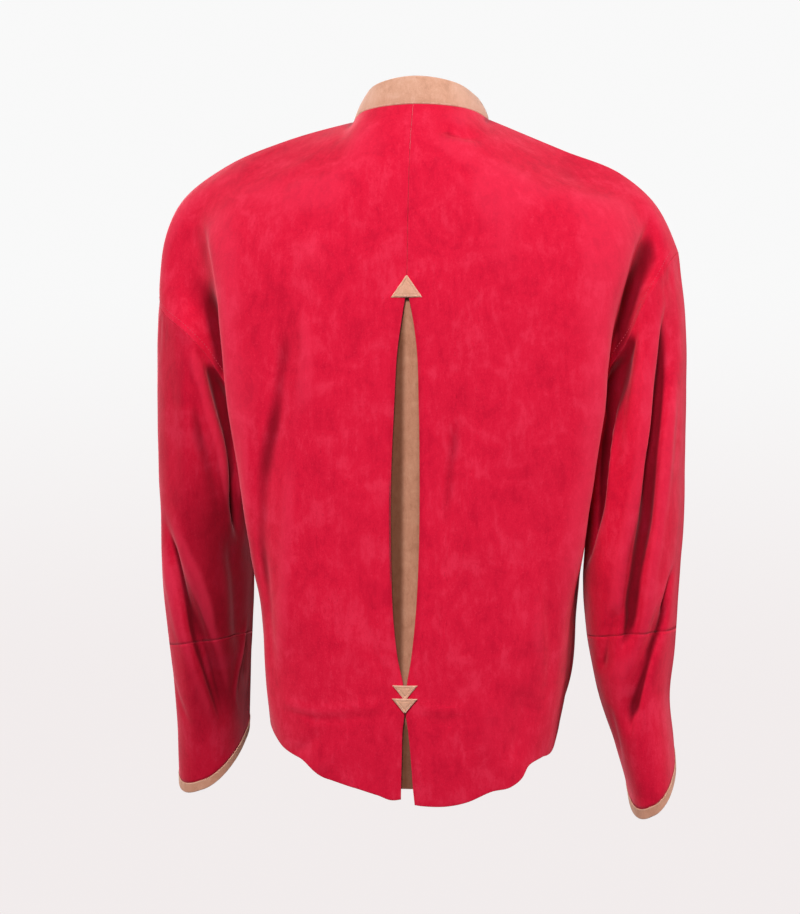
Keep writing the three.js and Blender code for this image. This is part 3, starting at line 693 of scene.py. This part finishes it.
for sideName, panel in panels.items():
    column = 1 if sideName == "left" else 2
    opened = waveHem(openPleat(panel["back"], column, panel["sign"]), hemWave[sideName])
    lapped = lapFront(panel["front"], sideName == "left")
    for part, grid, folds in (("back", opened, backFolds), ("front", lapped, frontFolds)):
        grid = dress(grid, folds[sideName])
        panel[part][firstArmholeRow:, -1] = grid[firstArmholeRow:, -1]
        addPiece(f"{part}_{sideName}", grid, wall["suede"], bodyAxis, "body", "suede")
        # painted shade under the panel's fold edges joins the relief
        shades = foldShade.get(f"{part}_{sideName}", [])
        pieces[-1]["relief"] += foldHeight(grid[:, :, 0], grid[:, :, 2], shades)

neckCount = sum(acrossSteps[:2])
frontNeck, backNeck, otherBack, otherFront = (
    panels[sideName][part][-1, :neckCount + 1]
    for sideName, part in (("left", "front"), ("left", "back"), ("right", "back"), ("right", "front")))
base = np.concatenate([frontNeck, backNeck[-2::-1], otherBack[1:], otherFront[-2::-1]])
rise = collarShape["riseSide"] + collarShape["riseEnds"] * (base[:, 1] / collarShape["halfDepth"]) ** 2
tops = base * (collarShape["scaleX"], collarShape["scaleY"], 1)
tops[:, 2] += rise
t = np.linspace(0, 1, 15)[:, None, None]
collarGrid = base * (1 - t) + tops * t + unit(base * (1, 1, 0)) * collarShape["bow"] * 4 * t * (1 - t)
addPiece("collar", collarGrid, wall["collar"], bodyAxis, "collar", "tan", rim=(1.2, 1.2))

levels, shares = np.meshgrid(np.linspace(*pleat["stripLevels"], 124), np.linspace(-1, 1, 41), indexing="ij")
into = wall["suede"] / 2 + wall["underlay"] / 2 + seamGap + 0.5 + pleat["depth"] * (1 - shares ** 2)
x = shares * pleat["stripHalfWidth"]
strip = onBack(x, levels, -into)
centreFold = 1.1 * np.exp(-(x / 2.4) ** 2) - 0.8 * np.exp(-((x - 7) / 5) ** 2)
strip[:, :, 1] += centreFold * smooth((levels + 560) / 60) * smooth((-200 - levels) / 40)
# painted shadow under the panels' edges, most under the left one, and painted shade low in the vent
shaded = smooth((x + 2) / 10) + 0.35 * smooth((-x - 6) / 6) + 0.8 * smooth((-596 - levels) / 14)
addPiece("pleat_underlay", strip, wall["underlay"], behind, "underlay", "underlay",
         relief=-pleat["shade"] * shaded, rim=(0.7, 0.7))

for name, values in tabs.items():
    grid, puff = tabSurface(*values)
    addPiece(name, grid, wall["tab"], behind, name, "tab", puff=puff, rim=(0.7, 0.7))

sleeveParts = (  # name, look, rims at the top and the bottom, which of them lies flat against the elbow join
    ("sleeve_upper", "suede", (0.9, 0), 1), ("sleeve_lower", "suede", (0, 0), 0),
    ("cuff_binding", "binding", (0.9, 1.2), None))
for sideName, panel in panels.items():
    for (name, look, rim, flatLoop), (grid, relief, tone) in zip(sleeveParts, sleeveGrids(sideName, panel)):
        addPiece(f"{name}_{sideName}", grid, wall[look], sleeveAxis(panel), "sleeve", look, closed=True,
                 relief=relief, tone=tone if look == "suede" else 0.0, rim=rim, flatLoop=flatLoop, gap=0.0)
print("sleeves, collar, underlay and tabs worked out")


rimAngles = (60, 30, 0, -30, -60)
markReach = 40  # from the border, past which the distance to it no longer matters
leastLean = dict(gap=0.35, thickness=0.6)
nearness = 0.05  # border points this near each other are one


def borderMask(piece):
    mask = np.zeros(piece["grid"].shape[:2], bool)
    mask[[0, -1]] = True
    if not piece["closed"]:
        mask[:, [0, -1]] = True
    return mask


def shareSeams(allPieces):
    # one wall direction for the border points that pieces share: the unit sum of each group's unit sum
    borders = [borderMask(piece) for piece in allPieces]
    points, normals = (np.concatenate([piece[key][mask] for piece, mask in zip(allPieces, borders)])
                       for key in ("grid", "normals"))
    names = sorted({piece["group"] for piece in allPieces})
    member = np.repeat([names.index(piece["group"]) for piece in allPieces], [mask.sum() for mask in borders])
    _, place = np.unique(np.round(points / nearness).astype(int), axis=0, return_inverse=True)
    place = place.ravel()
    sums = np.zeros((len(names), place.max() + 1, 3))
    np.add.at(sums, (member, place), normals)
    shared = unit(unit(sums).sum(axis=0))[place]
    start = 0
    for piece, mask in zip(allPieces, borders):
        piece["wall"] = piece["normals"].copy()
        piece["wall"][mask] = shared[start:start + mask.sum()]
        start += mask.sum()


def gridFaces(rows, columns, closed=True):
    # four-cornered faces between the rows of a grid; a closed one joins its last column to its first
    corner = np.arange(rows)[:, None] * columns + np.arange(columns)
    near, far = (corner, np.roll(corner, -1, axis=1)) if closed else (corner[:, :-1], corner[:, 1:])
    return np.stack([near[:-1], far[:-1], far[1:], near[1:]], axis=-1).reshape(-1, 4)


def rimLoops(rows, columns, closed):
    # grid places round the border, in the faces' own sense
    if closed:
        across = np.arange(columns)
        return [(0 * across, across), (0 * across + rows - 1, across[::-1])]
    i = np.r_[[0] * columns, 1:rows, [rows - 1] * (columns - 1), rows - 2:0:-1]
    j = np.r_[:columns, [columns - 1] * (rows - 1), columns - 2:-1:-1, [0] * (rows - 2)]
    return [(i, j)]


def shell(piece):
    # both faces at half the thickness along the wall direction, joined by a half-round rim:
    # border + inward * rim * (1 - cos a) + wall * half thickness * sin a, for a from 90 to -90 degrees
    grid, toWall, closed = piece["grid"], piece["wall"], piece["closed"]
    rows, columns = grid.shape[:2]
    inward = np.zeros(grid.shape)
    inward[0] += unit(grid[1] - grid[0])
    inward[-1] += unit(grid[-2] - grid[-1])
    if not closed:
        inward[:, 0] += unit(grid[:, 1] - grid[:, 0])
        inward[:, -1] += unit(grid[:, -2] - grid[:, -1])
    lean = np.sum(toWall * piece["normals"], axis=-1)[:, :, None]
    middle = grid + inward * (piece["gap"] / 2 / np.maximum(leastLean["gap"], lean))
    stretch = 1 / np.maximum(leastLean["thickness"], lean)
    half = piece["thickness"] / 2 * np.where(borderMask(piece)[:, :, None], stretch, 1)
    rimIn = inward * piece["rim"][0]
    rimIn[-1] = inward[-1] * piece["rim"][1]
    outer = middle + rimIn + toWall * (half + piece["puff"])
    inner = middle + rimIn - toWall * half
    vertices = [outer.reshape(-1, 3), inner.reshape(-1, 3)]
    sheet = gridFaces(rows, columns, closed)
    faces = [sheet, sheet[:, ::-1] + rows * columns]
    isSmooth = [np.ones(2 * len(sheet), bool)]
    distance = np.minimum(borderDistance(grid, closed), markReach)
    marks = np.stack([distance, piece["relief"], 0 * distance, piece["tone"]], axis=-1).reshape(-1, 4)
    allMarks = [marks, marks + (0, 0, 1, 0)]
    count = 2 * rows * columns

    def strip(first, second):
        faces.append(np.stack([np.roll(first, -1), first, second, np.roll(second, -1)], axis=-1))
    for loop, (i, j) in enumerate(rimLoops(rows, columns, closed)):
        place = previous = i * columns + j
        isSmooth.append(np.full(6 * len(i), loop != piece["flatLoop"]))
        for angle in rimAngles:
            bend = math.radians(angle)
            ring = middle[i, j] + rimIn[i, j] * (1 - math.cos(bend))
            vertices.append(ring + toWall[i, j] * half[i, j] * math.sin(bend))
            allMarks.append(marks[place] * (0, 1, 0, 1) + (0, 0, (1 - np.sign(angle)) / 2, 0))
            current = count + np.arange(len(i))
            strip(previous, current)
            count += len(i)
            previous = current
        strip(previous, rows * columns + place)
    faces = np.concatenate(faces)
    if piece["turned"]:
        faces = faces[:, ::-1]
    attributes = dict(zip(("seamDistance", "relief", "lining", "tone"), np.concatenate(allMarks).T))
    return np.concatenate(vertices), [faces], attributes, np.concatenate(isSmooth)


def makeObject(name, vertices, faceSets, material, attributes=None, isSmooth=None):
    # vertices in millimetres; faceSets are arrays of faces, each with its own number of corners
    mesh = bpy.data.meshes.new(name)
    mesh.vertices.add(len(vertices))
    mesh.vertices.foreach_set("co", (np.asarray(vertices) / 1000).astype(np.float32).ravel())
    corners = np.concatenate([faces.ravel() for faces in faceSets]).astype(np.int32)
    sizes = np.concatenate([np.full(len(faces), faces.shape[1]) for faces in faceSets])
    mesh.loops.add(len(corners))
    mesh.loops.foreach_set("vertex_index", corners)
    mesh.polygons.add(len(sizes))
    mesh.polygons.foreach_set("loop_start", (np.cumsum(sizes) - sizes).astype(np.int32))
    mesh.polygons.foreach_set("use_smooth", np.ones(len(sizes), bool) if isSmooth is None else isSmooth)
    for key, values in (attributes or {}).items():
        mesh.attributes.new(key, "FLOAT", "POINT").data.foreach_set("value", values.astype(np.float32))
    mesh.update(calc_edges=True)
    mesh.validate()
    mesh.materials.append(material)
    return placed(name, mesh)


def rideOn(made, replaced=None):
    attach(made, "root")
    if replaced:
        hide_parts(replaced)
    return made


# deep is the colour that the painted shade in hollows multiplies in
suedeLook = dict(base=(0.74, 0.008, 0.042, 1), light=(0.90, 0.04, 0.098, 1), dark=(0.52, 0.001, 0.025, 1),
                 deep=(0.21, 0.035, 0.15, 1), blotch=26, grain=620, sheen=0.42, sheenTint=(1, 0.3, 0.36, 1))
tanLook = dict(base=(0.68, 0.355, 0.24, 1), light=(0.84, 0.52, 0.40, 1), dark=(0.46, 0.21, 0.125, 1),
               deep=(0.30, 0.24, 0.19, 1), blotch=70, grain=700, sheen=0.25, sheenTint=(1.0, 0.80, 0.70, 1))
bindingLook = {**tanLook, "base": (0.69, 0.335, 0.225, 1), "light": (0.84, 0.50, 0.37, 1)}
underlayLook = {**tanLook, "base": (0.52, 0.235, 0.145, 1), "light": (0.64, 0.34, 0.22, 1),
                "dark": (0.36, 0.145, 0.08, 1), "deep": (0.25, 0.17, 0.124, 1)}
hornLook = dict(base=(0.12, 0.055, 0.025, 1), light=(0.42, 0.25, 0.13, 1))
# the colour that the share of painted shade multiplies in
paintedShadeColour = (0.24, 0.10, 0.19, 1)


class Nodes:
    # shorthand for one tree's nodes; an input that is given a socket is linked, any other is set
    def __init__(self, tree):
        self.tree = tree

    def add(self, kind, inputs=None, **settings):
        made = self.tree.nodes.new("ShaderNode" + kind)
        for key, value in settings.items():
            setattr(made, key, value)
        for key, value in (inputs or {}).items():
            if isinstance(value, bpy.types.NodeSocket):
                self.tree.links.new(value, made.inputs[key])
            else:
                made.inputs[key].default_value = value
        return made

    def mix(self, factor, first, second, blend="MIX"):
        inputs = {0: factor, 6: first, 7: second}
        return self.add("Mix", inputs, data_type="RGBA", blend_type=blend).outputs[2]

    def times(self, first, second, operation="MULTIPLY", clamp=False):
        return self.add("Math", {0: first, 1: second}, operation=operation, use_clamp=clamp).outputs[0]

    def plus(self, first, second):
        return self.times(first, second, "ADD")

    def remap(self, value, low, high, toLow=0.0, toHigh=1.0):
        inputs = {0: value, 1: low, 2: high, 3: toLow, 4: toHigh}
        return self.add("MapRange", inputs, interpolation_type="SMOOTHSTEP").outputs[0]

    def noise(self, vector, scale, detail, roughness=0.5, distortion=0.0):
        return self.add("TexNoise", {"Vector": vector, "Scale": scale, "Detail": detail,
                                     "Roughness": roughness, "Distortion": distortion}).outputs[0]

    def bump(self, height, strength, distance):
        return self.add("Bump", {"Height": height, "Strength": strength, "Distance": distance}).outputs[0]


def makeGroup(name, inputs, outputs, build):
    # inputs are a vector (None), colours (tuples) or numbers; build works out the outputs in their order
    tree = bpy.data.node_groups.new(name, "ShaderNodeTree")
    for label, value in inputs.items():
        kind = "Vector" if value is None else "Color" if isinstance(value, tuple) else "Float"
        socket = tree.interface.new_socket(name=label, in_out="INPUT", socket_type="NodeSocket" + kind)
        if value is not None:
            socket.default_value = value
    for label in outputs:
        kind = "NodeSocketColor" if label == "Color" else "NodeSocketFloat"
        tree.interface.new_socket(name=label, in_out="OUTPUT", socket_type=kind)
    given = tree.nodes.new("NodeGroupInput").outputs
    result = tree.nodes.new("NodeGroupOutput").inputs
    for label, value in zip(outputs, build(Nodes(tree), given)):
        tree.links.new(value, result[label])
    return tree


def brushedNap(nodes, given):
    # brushed nap: large and small blotches of lighter and darker pile, and a fine grain that stands up
    vector, blotch, light, dark = (given[key] for key in ("Vector", "Blotch Scale", "Light", "Dark"))
    large = nodes.noise(vector, blotch, 5.0, 0.62, 0.6)
    brushed = nodes.add("Mapping", {"Vector": vector, "Scale": (1, 1, 0.38)}).outputs[0]
    medium = nodes.noise(brushed, nodes.times(blotch, 4.3), 4.0, 0.65, 0.3)
    streak = nodes.noise(brushed, nodes.times(blotch, 9.0), 4.0, 0.7, 0.4)
    grain = nodes.noise(vector, given["Grain Scale"], 3.0, 0.7)
    fine = nodes.noise(vector, nodes.times(given["Grain Scale"], 3.1), 1.0)
    patch = nodes.plus(nodes.times(large, 0.52), nodes.times(medium, 0.32))
    patch = nodes.plus(patch, nodes.times(streak, 0.16))
    shade = given["Base"]
    for low, high, share, colour in ((0.49, 0.62, 0.42, light), (0.51, 0.37, 0.48, dark)):
        mask = nodes.times(nodes.remap(patch, low, high), given["Contrast"], clamp=True)
        shade = nodes.mix(nodes.times(mask, share), shade, colour)
    shade = nodes.mix(nodes.remap(grain, 0.56, 0.74, 0.0, 0.34), shade, light)
    shade = nodes.mix(nodes.remap(grain, 0.44, 0.28, 0.0, 0.40), shade, dark)
    pile = nodes.plus(nodes.times(grain, 0.7), nodes.times(fine, 0.3))
    return shade, nodes.remap(grain, 0.2, 0.8, 0.98, 0.84), nodes.plus(pile, nodes.times(streak, 1.6))


def foldWearAndShade(nodes, given):
    # masks from the piece's own attributes: rubbed edges, pressed seams, ridges rubbed lighter and partly a
    # painted highlight, and painted shade in the hollows of the folds and under their edges
    distance, relief = given["Seam Distance"], given["Relief"]
    broken = nodes.noise(given["Vector"], 180.0, 3.0, 0.6)
    edge = nodes.times(nodes.remap(distance, 1.6, 0.0), nodes.remap(broken, 0.3, 0.6))
    return (edge, nodes.remap(distance, 9.0, 1.5), nodes.remap(relief, 2.0, 5.0),
            nodes.remap(relief, -0.4, -6.5))


napGroup = makeGroup("brushedNap", {
    "Vector": None, "Base": (0.7, 0.02, 0.05, 1), "Light": (0.9, 0.1, 0.1, 1), "Dark": (0.5, 0.01, 0.02, 1),
    "Blotch Scale": 26.0, "Grain Scale": 600.0, "Contrast": 1.0},
    ("Color", "Roughness", "Height"), brushedNap)
wearAndShadeGroup = makeGroup("foldWearAndShade", {"Vector": None, "Seam Distance": 20.0, "Relief": 0.0},
                      ("Edge", "Seam", "Ridge", "Hollow"), foldWearAndShade)


def makeMaterial(name, build, *values, **changes):
    # build gives the shader, from the nodes and the Object coordinates
    material = bpy.data.materials.new(name)
    material.use_nodes = True
    material.node_tree.nodes.clear()
    nodes = Nodes(material.node_tree)
    shader = build(nodes, nodes.add("TexCoord").outputs["Object"], *values, **changes)
    nodes.add("OutputMaterial", {0: shader.outputs[0]})
    return material


def scaled(colour, share):
    return tuple(part * share for part in colour[:3]) + (1,)


def suede(nodes, place, look, contrast=1.0, edgeLight=0.5, liningShade=0.8, dim=1.0):
    base, light, dark = (scaled(look[key], dim) for key in ("base", "light", "dark"))

    def read(name):
        return nodes.add("Attribute", attribute_name=name).outputs["Fac"]
    nap = nodes.add("Group", {
        "Vector": place, "Base": base, "Light": light, "Dark": dark, "Blotch Scale": look["blotch"],
        "Grain Scale": look["grain"], "Contrast": contrast}, node_tree=napGroup).outputs
    wearAndShade = nodes.add("Group", {"Vector": place, "Seam Distance": read("seamDistance"),
                               "Relief": read("relief")}, node_tree=wearAndShadeGroup).outputs
    # painted shade on the sleeves, most on the left sleeve's inner half
    shade = nodes.mix(read("tone"), nap["Color"], paintedShadeColour, "MULTIPLY")
    # painted shade in the folds' hollows and under their edges
    shade = nodes.mix(nodes.times(wearAndShade["Hollow"], 0.9), shade, look["deep"], "MULTIPLY")
    # ridges lighten as rubbed nap and partly as a painted highlight; seams darken where pressed; edges
    # lighten where rubbed
    for mask, share, colour in (("Ridge", 0.3, light), ("Seam", 0.07, dark), ("Edge", edgeLight, light)):
        shade = nodes.mix(nodes.times(wearAndShade[mask], share), shade, colour)
    shade = nodes.mix(nodes.times(read("lining"), 0.8), shade, scaled(base, liningShade))
    return nodes.add("BsdfPrincipled", {
        "Base Color": shade, "Roughness": nap["Roughness"], "Normal": nodes.bump(nap["Height"], 0.35, 0.0006),
        "Specular IOR Level": 0.1, "Sheen Weight": look["sheen"], "Sheen Roughness": 0.45,
        "Sheen Tint": look["sheenTint"]})


def thread(nodes, place, colour):
    # twisted thread: fine slanted bands
    bands = nodes.add("TexWave", {"Vector": place, "Scale": 900.0, "Distortion": 2.0},
                      bands_direction="DIAGONAL").outputs[0]
    return nodes.add("BsdfPrincipled", {"Base Color": nodes.mix(bands, scaled(colour, 0.6), colour),
                                        "Roughness": 0.7, "Normal": nodes.bump(bands, 0.4, 0.0002)})


def horn(nodes, place):
    stretched = nodes.add("Mapping", {"Vector": place, "Scale": (60, 60, 14)}).outputs[0]
    streak = nodes.noise(stretched, 6.0, 5.0, 0.6, 1.2)
    speck = nodes.noise(place, 1500.0, 2.0, 0.6)
    return nodes.add("BsdfPrincipled", {
        "Base Color": nodes.mix(nodes.remap(streak, 0.38, 0.66), hornLook["base"], hornLook["light"]),
        "Roughness": nodes.remap(speck, 0.3, 0.7, 0.30, 0.46), "Normal": nodes.bump(speck, 0.08, 0.0002),
        "Coat Weight": 0.2})


materials = dict(
    suede=makeMaterial("redSuede", suede, suedeLook, edgeLight=0.08, liningShade=0.55),
    tan=makeMaterial("tanSuede", suede, tanLook, contrast=0.8, edgeLight=0.7),
    tab=makeMaterial("tabSuede", suede, tanLook, contrast=0.6, edgeLight=0.9, liningShade=0.9, dim=1.12),
    binding=makeMaterial("bindingSuede", suede, bindingLook, contrast=0.6),
    underlay=makeMaterial("underlaySuede", suede, underlayLook, edgeLight=0.2))
threads = dict(suede_red=makeMaterial("redThread", thread, (0.80, 0.06, 0.11, 1)),
               suede_tan=makeMaterial("tanThread", thread, (0.72, 0.47, 0.33, 1)))
hornMaterial = makeMaterial("horn", horn)
print("materials made")

shareSeams(pieces)
for piece in pieces:
    name, look, grid = piece["name"], piece["look"], piece["grid"]
    vertices, faceSets, *marks = shell(piece)
    made = makeObject(name + "_cloth", vertices, faceSets, materials[look], *marks)
    piece["object"] = rideOn(made, name)
    print(f"{name}: {len(faceSets[0]) * 2} triangles")
print("sewn pieces made")

stitching = dict(pitch=3.4, length=2.3, radius=0.28, lift=0.1)
beadRings, beadSides = 5, 6


def insetLine(piece, side, inset, rows=slice(None)):
    # the line on the outer face at a distance from one border, and its normals
    normals = piece["normals"]
    outer = piece["grid"] + normals * (piece["thickness"] / 2 + piece["puff"])
    if "Column" in side:
        outer, normals = (values.transpose(1, 0, 2)[:, rows] for values in (outer, normals))
    if "last" in side:
        outer, normals = outer[::-1], normals[::-1]
    distance = arcFrom(outer, 0)
    index = np.clip((distance < inset).sum(axis=0), 1, len(distance) - 1)[None]
    before, after = (np.take_along_axis(distance, index - back, 0)[0] for back in (1, 0))
    t = ((inset - before) / np.maximum(after - before, 1e-6))[:, None]

    def pick(values):
        low, high = (np.take_along_axis(values, index[:, :, None] - back, 0)[0] for back in (1, 0))
        return low * (1 - t) + high * t
    return pick(outer), unit(pick(normals))


def stitchLine(line, normals, pitch, length, radius, lift, closed=False):
    # equal stitches along a line: a six-sided bead, thicker in its middle, whose ends dip into the leather
    if closed:
        line, normals = (np.concatenate([values, values[:1]]) for values in (line, normals))
    place = arcFrom(line[:, None], 0)[:, 0]
    count = max(1, int(place[-1] / pitch))
    at = (np.arange(count) + 0.5) * place[-1] / count

    def sample(values, where):
        return np.stack([np.interp(where, place, values[:, k]) for k in range(3)], axis=-1)
    ahead = unit(sample(line, at + length / 2) - sample(line, at - length / 2))
    out = unit(sample(normals, at))
    side = unit(np.cross(out, ahead))
    s = np.array([-1, -0.7, 0, 0.7, 1])[:, None, None]
    thick = np.array([0.45, 0.85, 1, 0.85, 0.45])[:, None, None] * radius
    angle = np.arange(beadSides)[:, None] * 2 * math.pi / beadSides
    centre, ahead, out, side = (values[:, None, None] for values in (sample(line, at), ahead, out, side))
    bead = centre + ahead * s * length / 2
    bead = bead + out * (lift - 0.35 * s ** 2 + thick * np.cos(angle)) + side * thick * np.sin(angle)
    caps = np.array([[3, 2, 1, 0], [5, 4, 3, 0], [24, 25, 26, 27], [24, 27, 28, 29]])
    base = np.arange(count)[:, None, None] * beadRings * beadSides
    faces = [(kind + base).reshape(-1, 4) for kind in (gridFaces(beadRings, beadSides), caps)]
    return bead.reshape(-1, 3), np.concatenate(faces)


sewn = {}


def sewOn(name, lines, slotName, carrier, **changes):
    vertices, faces, start = [], [], 0
    for line, normals in lines:
        points, quads = stitchLine(line, normals, **{**stitching, **changes})
        vertices.append(points)
        faces.append(quads + start)
        start += len(points)
    made = makeObject(name, np.concatenate(vertices), [np.concatenate(faces)], threads[slotName])
    sewn.setdefault(carrier, []).append(rideOn(made))


byName = {piece["name"]: piece for piece in pieces}
fromUnderarm = slice(firstArmholeRow + 4, None)
for sideName in panels:
    for carrier in (f"back_{sideName}", f"front_{sideName}"):
        line = insetLine(byName[carrier], "lastColumn", 6.5, fromUnderarm)
        sewOn(f"armhole_stitching_{carrier}", [line], "suede_red", carrier)
    carrier = f"cuff_binding_{sideName}"
    sewOn(f"cuff_stitching_{sideName}", [insetLine(byName[carrier], "firstRow", 1.6)], "suede_tan", carrier,
          closed=True, pitch=3.0, length=2.0, radius=0.22)
line = insetLine(byName["front_left"], "firstColumn", 6, slice(2, -4))
sewOn("front_edge_stitching", [line], "suede_red", "front_left")


def tabOutline(halfWidth, tall, wideLevel, points, layer):
    # three straight rows along the tab's edges, at the groove's distance from them
    slant, inset = math.hypot(tall, halfWidth), tabLook["stitchInset"]
    halfAt = halfWidth - inset * slant / tall - inset * halfWidth / tall
    top = tall - inset * slant / halfWidth
    corners = np.array([(-halfAt, inset), (halfAt, inset), (0, top), (-halfAt, inset)])
    t = np.linspace(0.03, 0.97, 12)[:, None]
    sides = []
    for a, b in zip(corners[:-1], corners[1:]):
        x, up = (a * (1 - t) + b * t).T
        line = onBack(x, wideLevel + points * up, tabOut(layer) + wall["tab"] / 2 - 0.1)
        sides.append((line, np.broadcast_to(np.array([0.0, 1.0, 0.0]), line.shape)))
    return sides


for name, values in tabs.items():
    sewOn(f"{name}_stitching", tabOutline(*values), "suede_tan", name,
          pitch=2.2, length=1.5, radius=0.2, lift=0.06)
print("stitching made")

# What shows of each piece, cut flat: width, length and area in metres, how it is held, and by which pieces.
cuts = """
    back_left 0.345 0.720 0.168 draped
    front_left 0.458 0.641 0.165 draped
    back_right 0.345 0.732 0.168 draped
    front_right 0.395 0.641 0.161 draped
    collar 0.447 0.032 0.0119 draped back_left back_right front_left front_right
    pleat_underlay 0.074 0.492 0.0361 hung back_left back_right
    tab_top 0.031 0.026 0.00042 laid back_left back_right
    tab_middle 0.025 0.018 0.00023 laid back_left back_right
    tab_bottom 0.025 0.018 0.00023 laid back_left back_right
    sleeve_upper_left 0.564 0.359 0.0995 hung back_left front_left
    sleeve_lower_left 0.330 0.148 0.0352 hung sleeve_upper_left
    cuff_binding_left 0.311 0.0115 0.0034 folded sleeve_lower_left
    sleeve_upper_right 0.616 0.381 0.1085 hung back_right front_right
    sleeve_lower_right 0.342 0.179 0.0462 hung sleeve_upper_right
    cuff_binding_right 0.312 0.0115 0.0035 folded sleeve_lower_right"""
for cut in cuts.strip().splitlines():
    name, width, length, flatArea, held, *holders = cut.split()

buttonLook = dict(radius=9.5, thickness=4, dish=1.2, levels=(-92, -200, -308, -416, -524),
                  holeRadius=0.9, holeCircle=2.3, holeDepth=1.5, thread=0.32, sides=48, faceRows=22)
buttonFloor = buttonLook["thickness"] - buttonLook["dish"]


def buttonSurface():
    # a turned profile carried round the axis, with four wells: depth * exp(-(distance / hole)^4)
    r, h = buttonLook["radius"], buttonLook["thickness"]
    profile = np.array([
        (0.15, 0), (r - 1.6, 0), (r - 0.5, 0.35), (r, 1.2), (r, h - 1.3), (r - 0.5, h - 0.35), (r - 1.5, h),
        (r - 2.9, h - 0.15), (r - 4.2, buttonFloor), (3.4, buttonFloor), (0.15, buttonFloor)])
    line = through(profile, [6, 3, 3, 3, 3, 3, 3, 4, 8, 14])
    angle = np.arange(buttonLook["sides"]) * 2 * math.pi / buttonLook["sides"]
    radius, tall = line[:, 0][:, None], line[:, 1][:, None]
    x, y = radius * np.cos(angle), radius * np.sin(angle)
    z = np.broadcast_to(tall, x.shape).copy()
    upper = np.arange(len(line))[:, None] > len(line) - buttonLook["faceRows"]
    for turn in np.radians((45, 135, 225, 315)):
        holeX, holeY = buttonLook["holeCircle"] * np.cos(turn), buttonLook["holeCircle"] * np.sin(turn)
        near = np.hypot(x - holeX, y - holeY) / buttonLook["holeRadius"]
        z -= np.where(upper, buttonLook["holeDepth"] * np.exp(-near ** 4), 0)
    return np.stack([x, y, z], axis=-1)


def latheFaces(grid, start=0):
    rows, columns = grid.shape[:2]
    ring = np.arange(columns)[None]
    return [part + start for part in (gridFaces(rows, columns), ring[:, ::-1], ring + (rows - 1) * columns)]


def tube(line, radius, sides=8):
    # a circle carried along a line that lies in one plane
    ahead = unit(np.gradient(line, axis=0))
    side = unit(np.cross(ahead, (0.0, 0.0, 1.0)))
    up = np.cross(side, ahead)
    angle = np.arange(sides)[:, None] * 2 * math.pi / sides
    return line[:, None] + (np.cos(angle) * side[:, None] + np.sin(angle) * up[:, None]) * radius


def threadCross():
    # two threads from hole to hole, crossing at the button's middle
    t = np.linspace(-1, 1, 13)
    reach = (buttonLook["holeCircle"] + 0.1) / math.sqrt(2)
    return [tube(np.stack([t * reach, sign * t * reach, buttonFloor + 0.35 - 1.1 * t ** 6 + over], axis=-1),
                 buttonLook["thread"]) for sign, over in ((1, 0.25), (-1, 0))]


disc = buttonSurface()
cross = threadCross()
crossFaces = [np.concatenate(pair) for pair in zip(*(
    latheFaces(part, k * cross[0].size // 3) for k, part in enumerate(cross)))]
for number, level in enumerate(buttonLook["levels"], 1):
    above, below, depth = (np.interp(level + step, chestLine[:, 2], chestLine[:, 1]) for step in (10, -10, 0))
    tilt = math.atan2(above - below, 20)
    turn = np.array([[1, 0, 0], [0, math.sin(tilt), math.cos(tilt)], [0, -math.cos(tilt), math.sin(tilt)]])
    place = (0, depth - wall["suede"] * 1.5 - 2 * seamGap - 0.4, level)
    made = makeObject(f"button_{number}_horn", (disc @ turn + place).reshape(-1, 3), latheFaces(disc),
                      hornMaterial)
    rideOn(made, f"button_{number}")
    points = np.concatenate([(part @ turn + place).reshape(-1, 3) for part in cross])
    rideOn(makeObject(f"button_{number}_thread", points, crossFaces, threads["suede_red"]))
print("buttons made")


def studioPaint(nodes, place):
    height = nodes.add("SeparateXYZ", {0: place}).outputs[2]
    shade = nodes.mix(nodes.remap(height, -1.0, 0.2), studio["floorColour"], studio["wallColour"])
    seen = nodes.add("LightPath").outputs["Is Camera Ray"]
    return nodes.add("Emission", {"Color": shade, "Strength": nodes.remap(seen, 0, 1, studio["bounce"], 1)})


def makeStudio():
    # a round floor that turns up into a cove: level + height * ((r - floor) / (cove - floor))^2.5
    r = np.concatenate([[0.02], np.linspace(0.4, studio["coveRadius"], 40)])
    angle = np.arange(96) * math.pi / 48
    past = np.clip((r - studio["floorRadius"]) / (studio["coveRadius"] - studio["floorRadius"]), 0, 1)
    rise = studio["floorLevel"] + studio["coveHeight"] * past ** 2.5
    x, y = r[:, None] * np.cos(angle), r[:, None] * np.sin(angle)
    grid = np.stack([x, y, np.broadcast_to(rise[:, None], x.shape)], axis=-1)
    quads = gridFaces(*x.shape)[:, [0, 3, 2, 1]]
    middle = np.arange(len(angle))[None]
    makeObject("studio_floor", grid.reshape(-1, 3) * 1000, [quads, middle],
                        makeMaterial("studioFloor", studioPaint))


def makeLight(name, watts, size, location, target=(0, 0, -0.35)):
    data = bpy.data.lights.new(name, "AREA")
    data.energy = watts
    data.shape = "DISK"
    data.size = size
    light = placed(name, data)
    light.location = location
    x, y, z = np.array(target) - np.array(location)
    light.rotation_euler = (math.atan2(math.hypot(x, y), -z), 0, math.atan2(y, x) - math.pi / 2)


def makeWorld():
    world = bpy.data.worlds.new("studio")
    world.use_nodes = True
    background = world.node_tree.nodes["Background"]
    background.inputs["Color"].default_value = (1, 0.995, 0.99, 1)
    background.inputs["Strength"].default_value = studio["ambient"]
    bpy.context.scene.world = world


makeStudio()
makeWorld()
for name, values in lights.items():
    makeLight(name + "Light", *values)
bpy.context.scene.view_settings.view_transform = "Standard"
print("studio made")
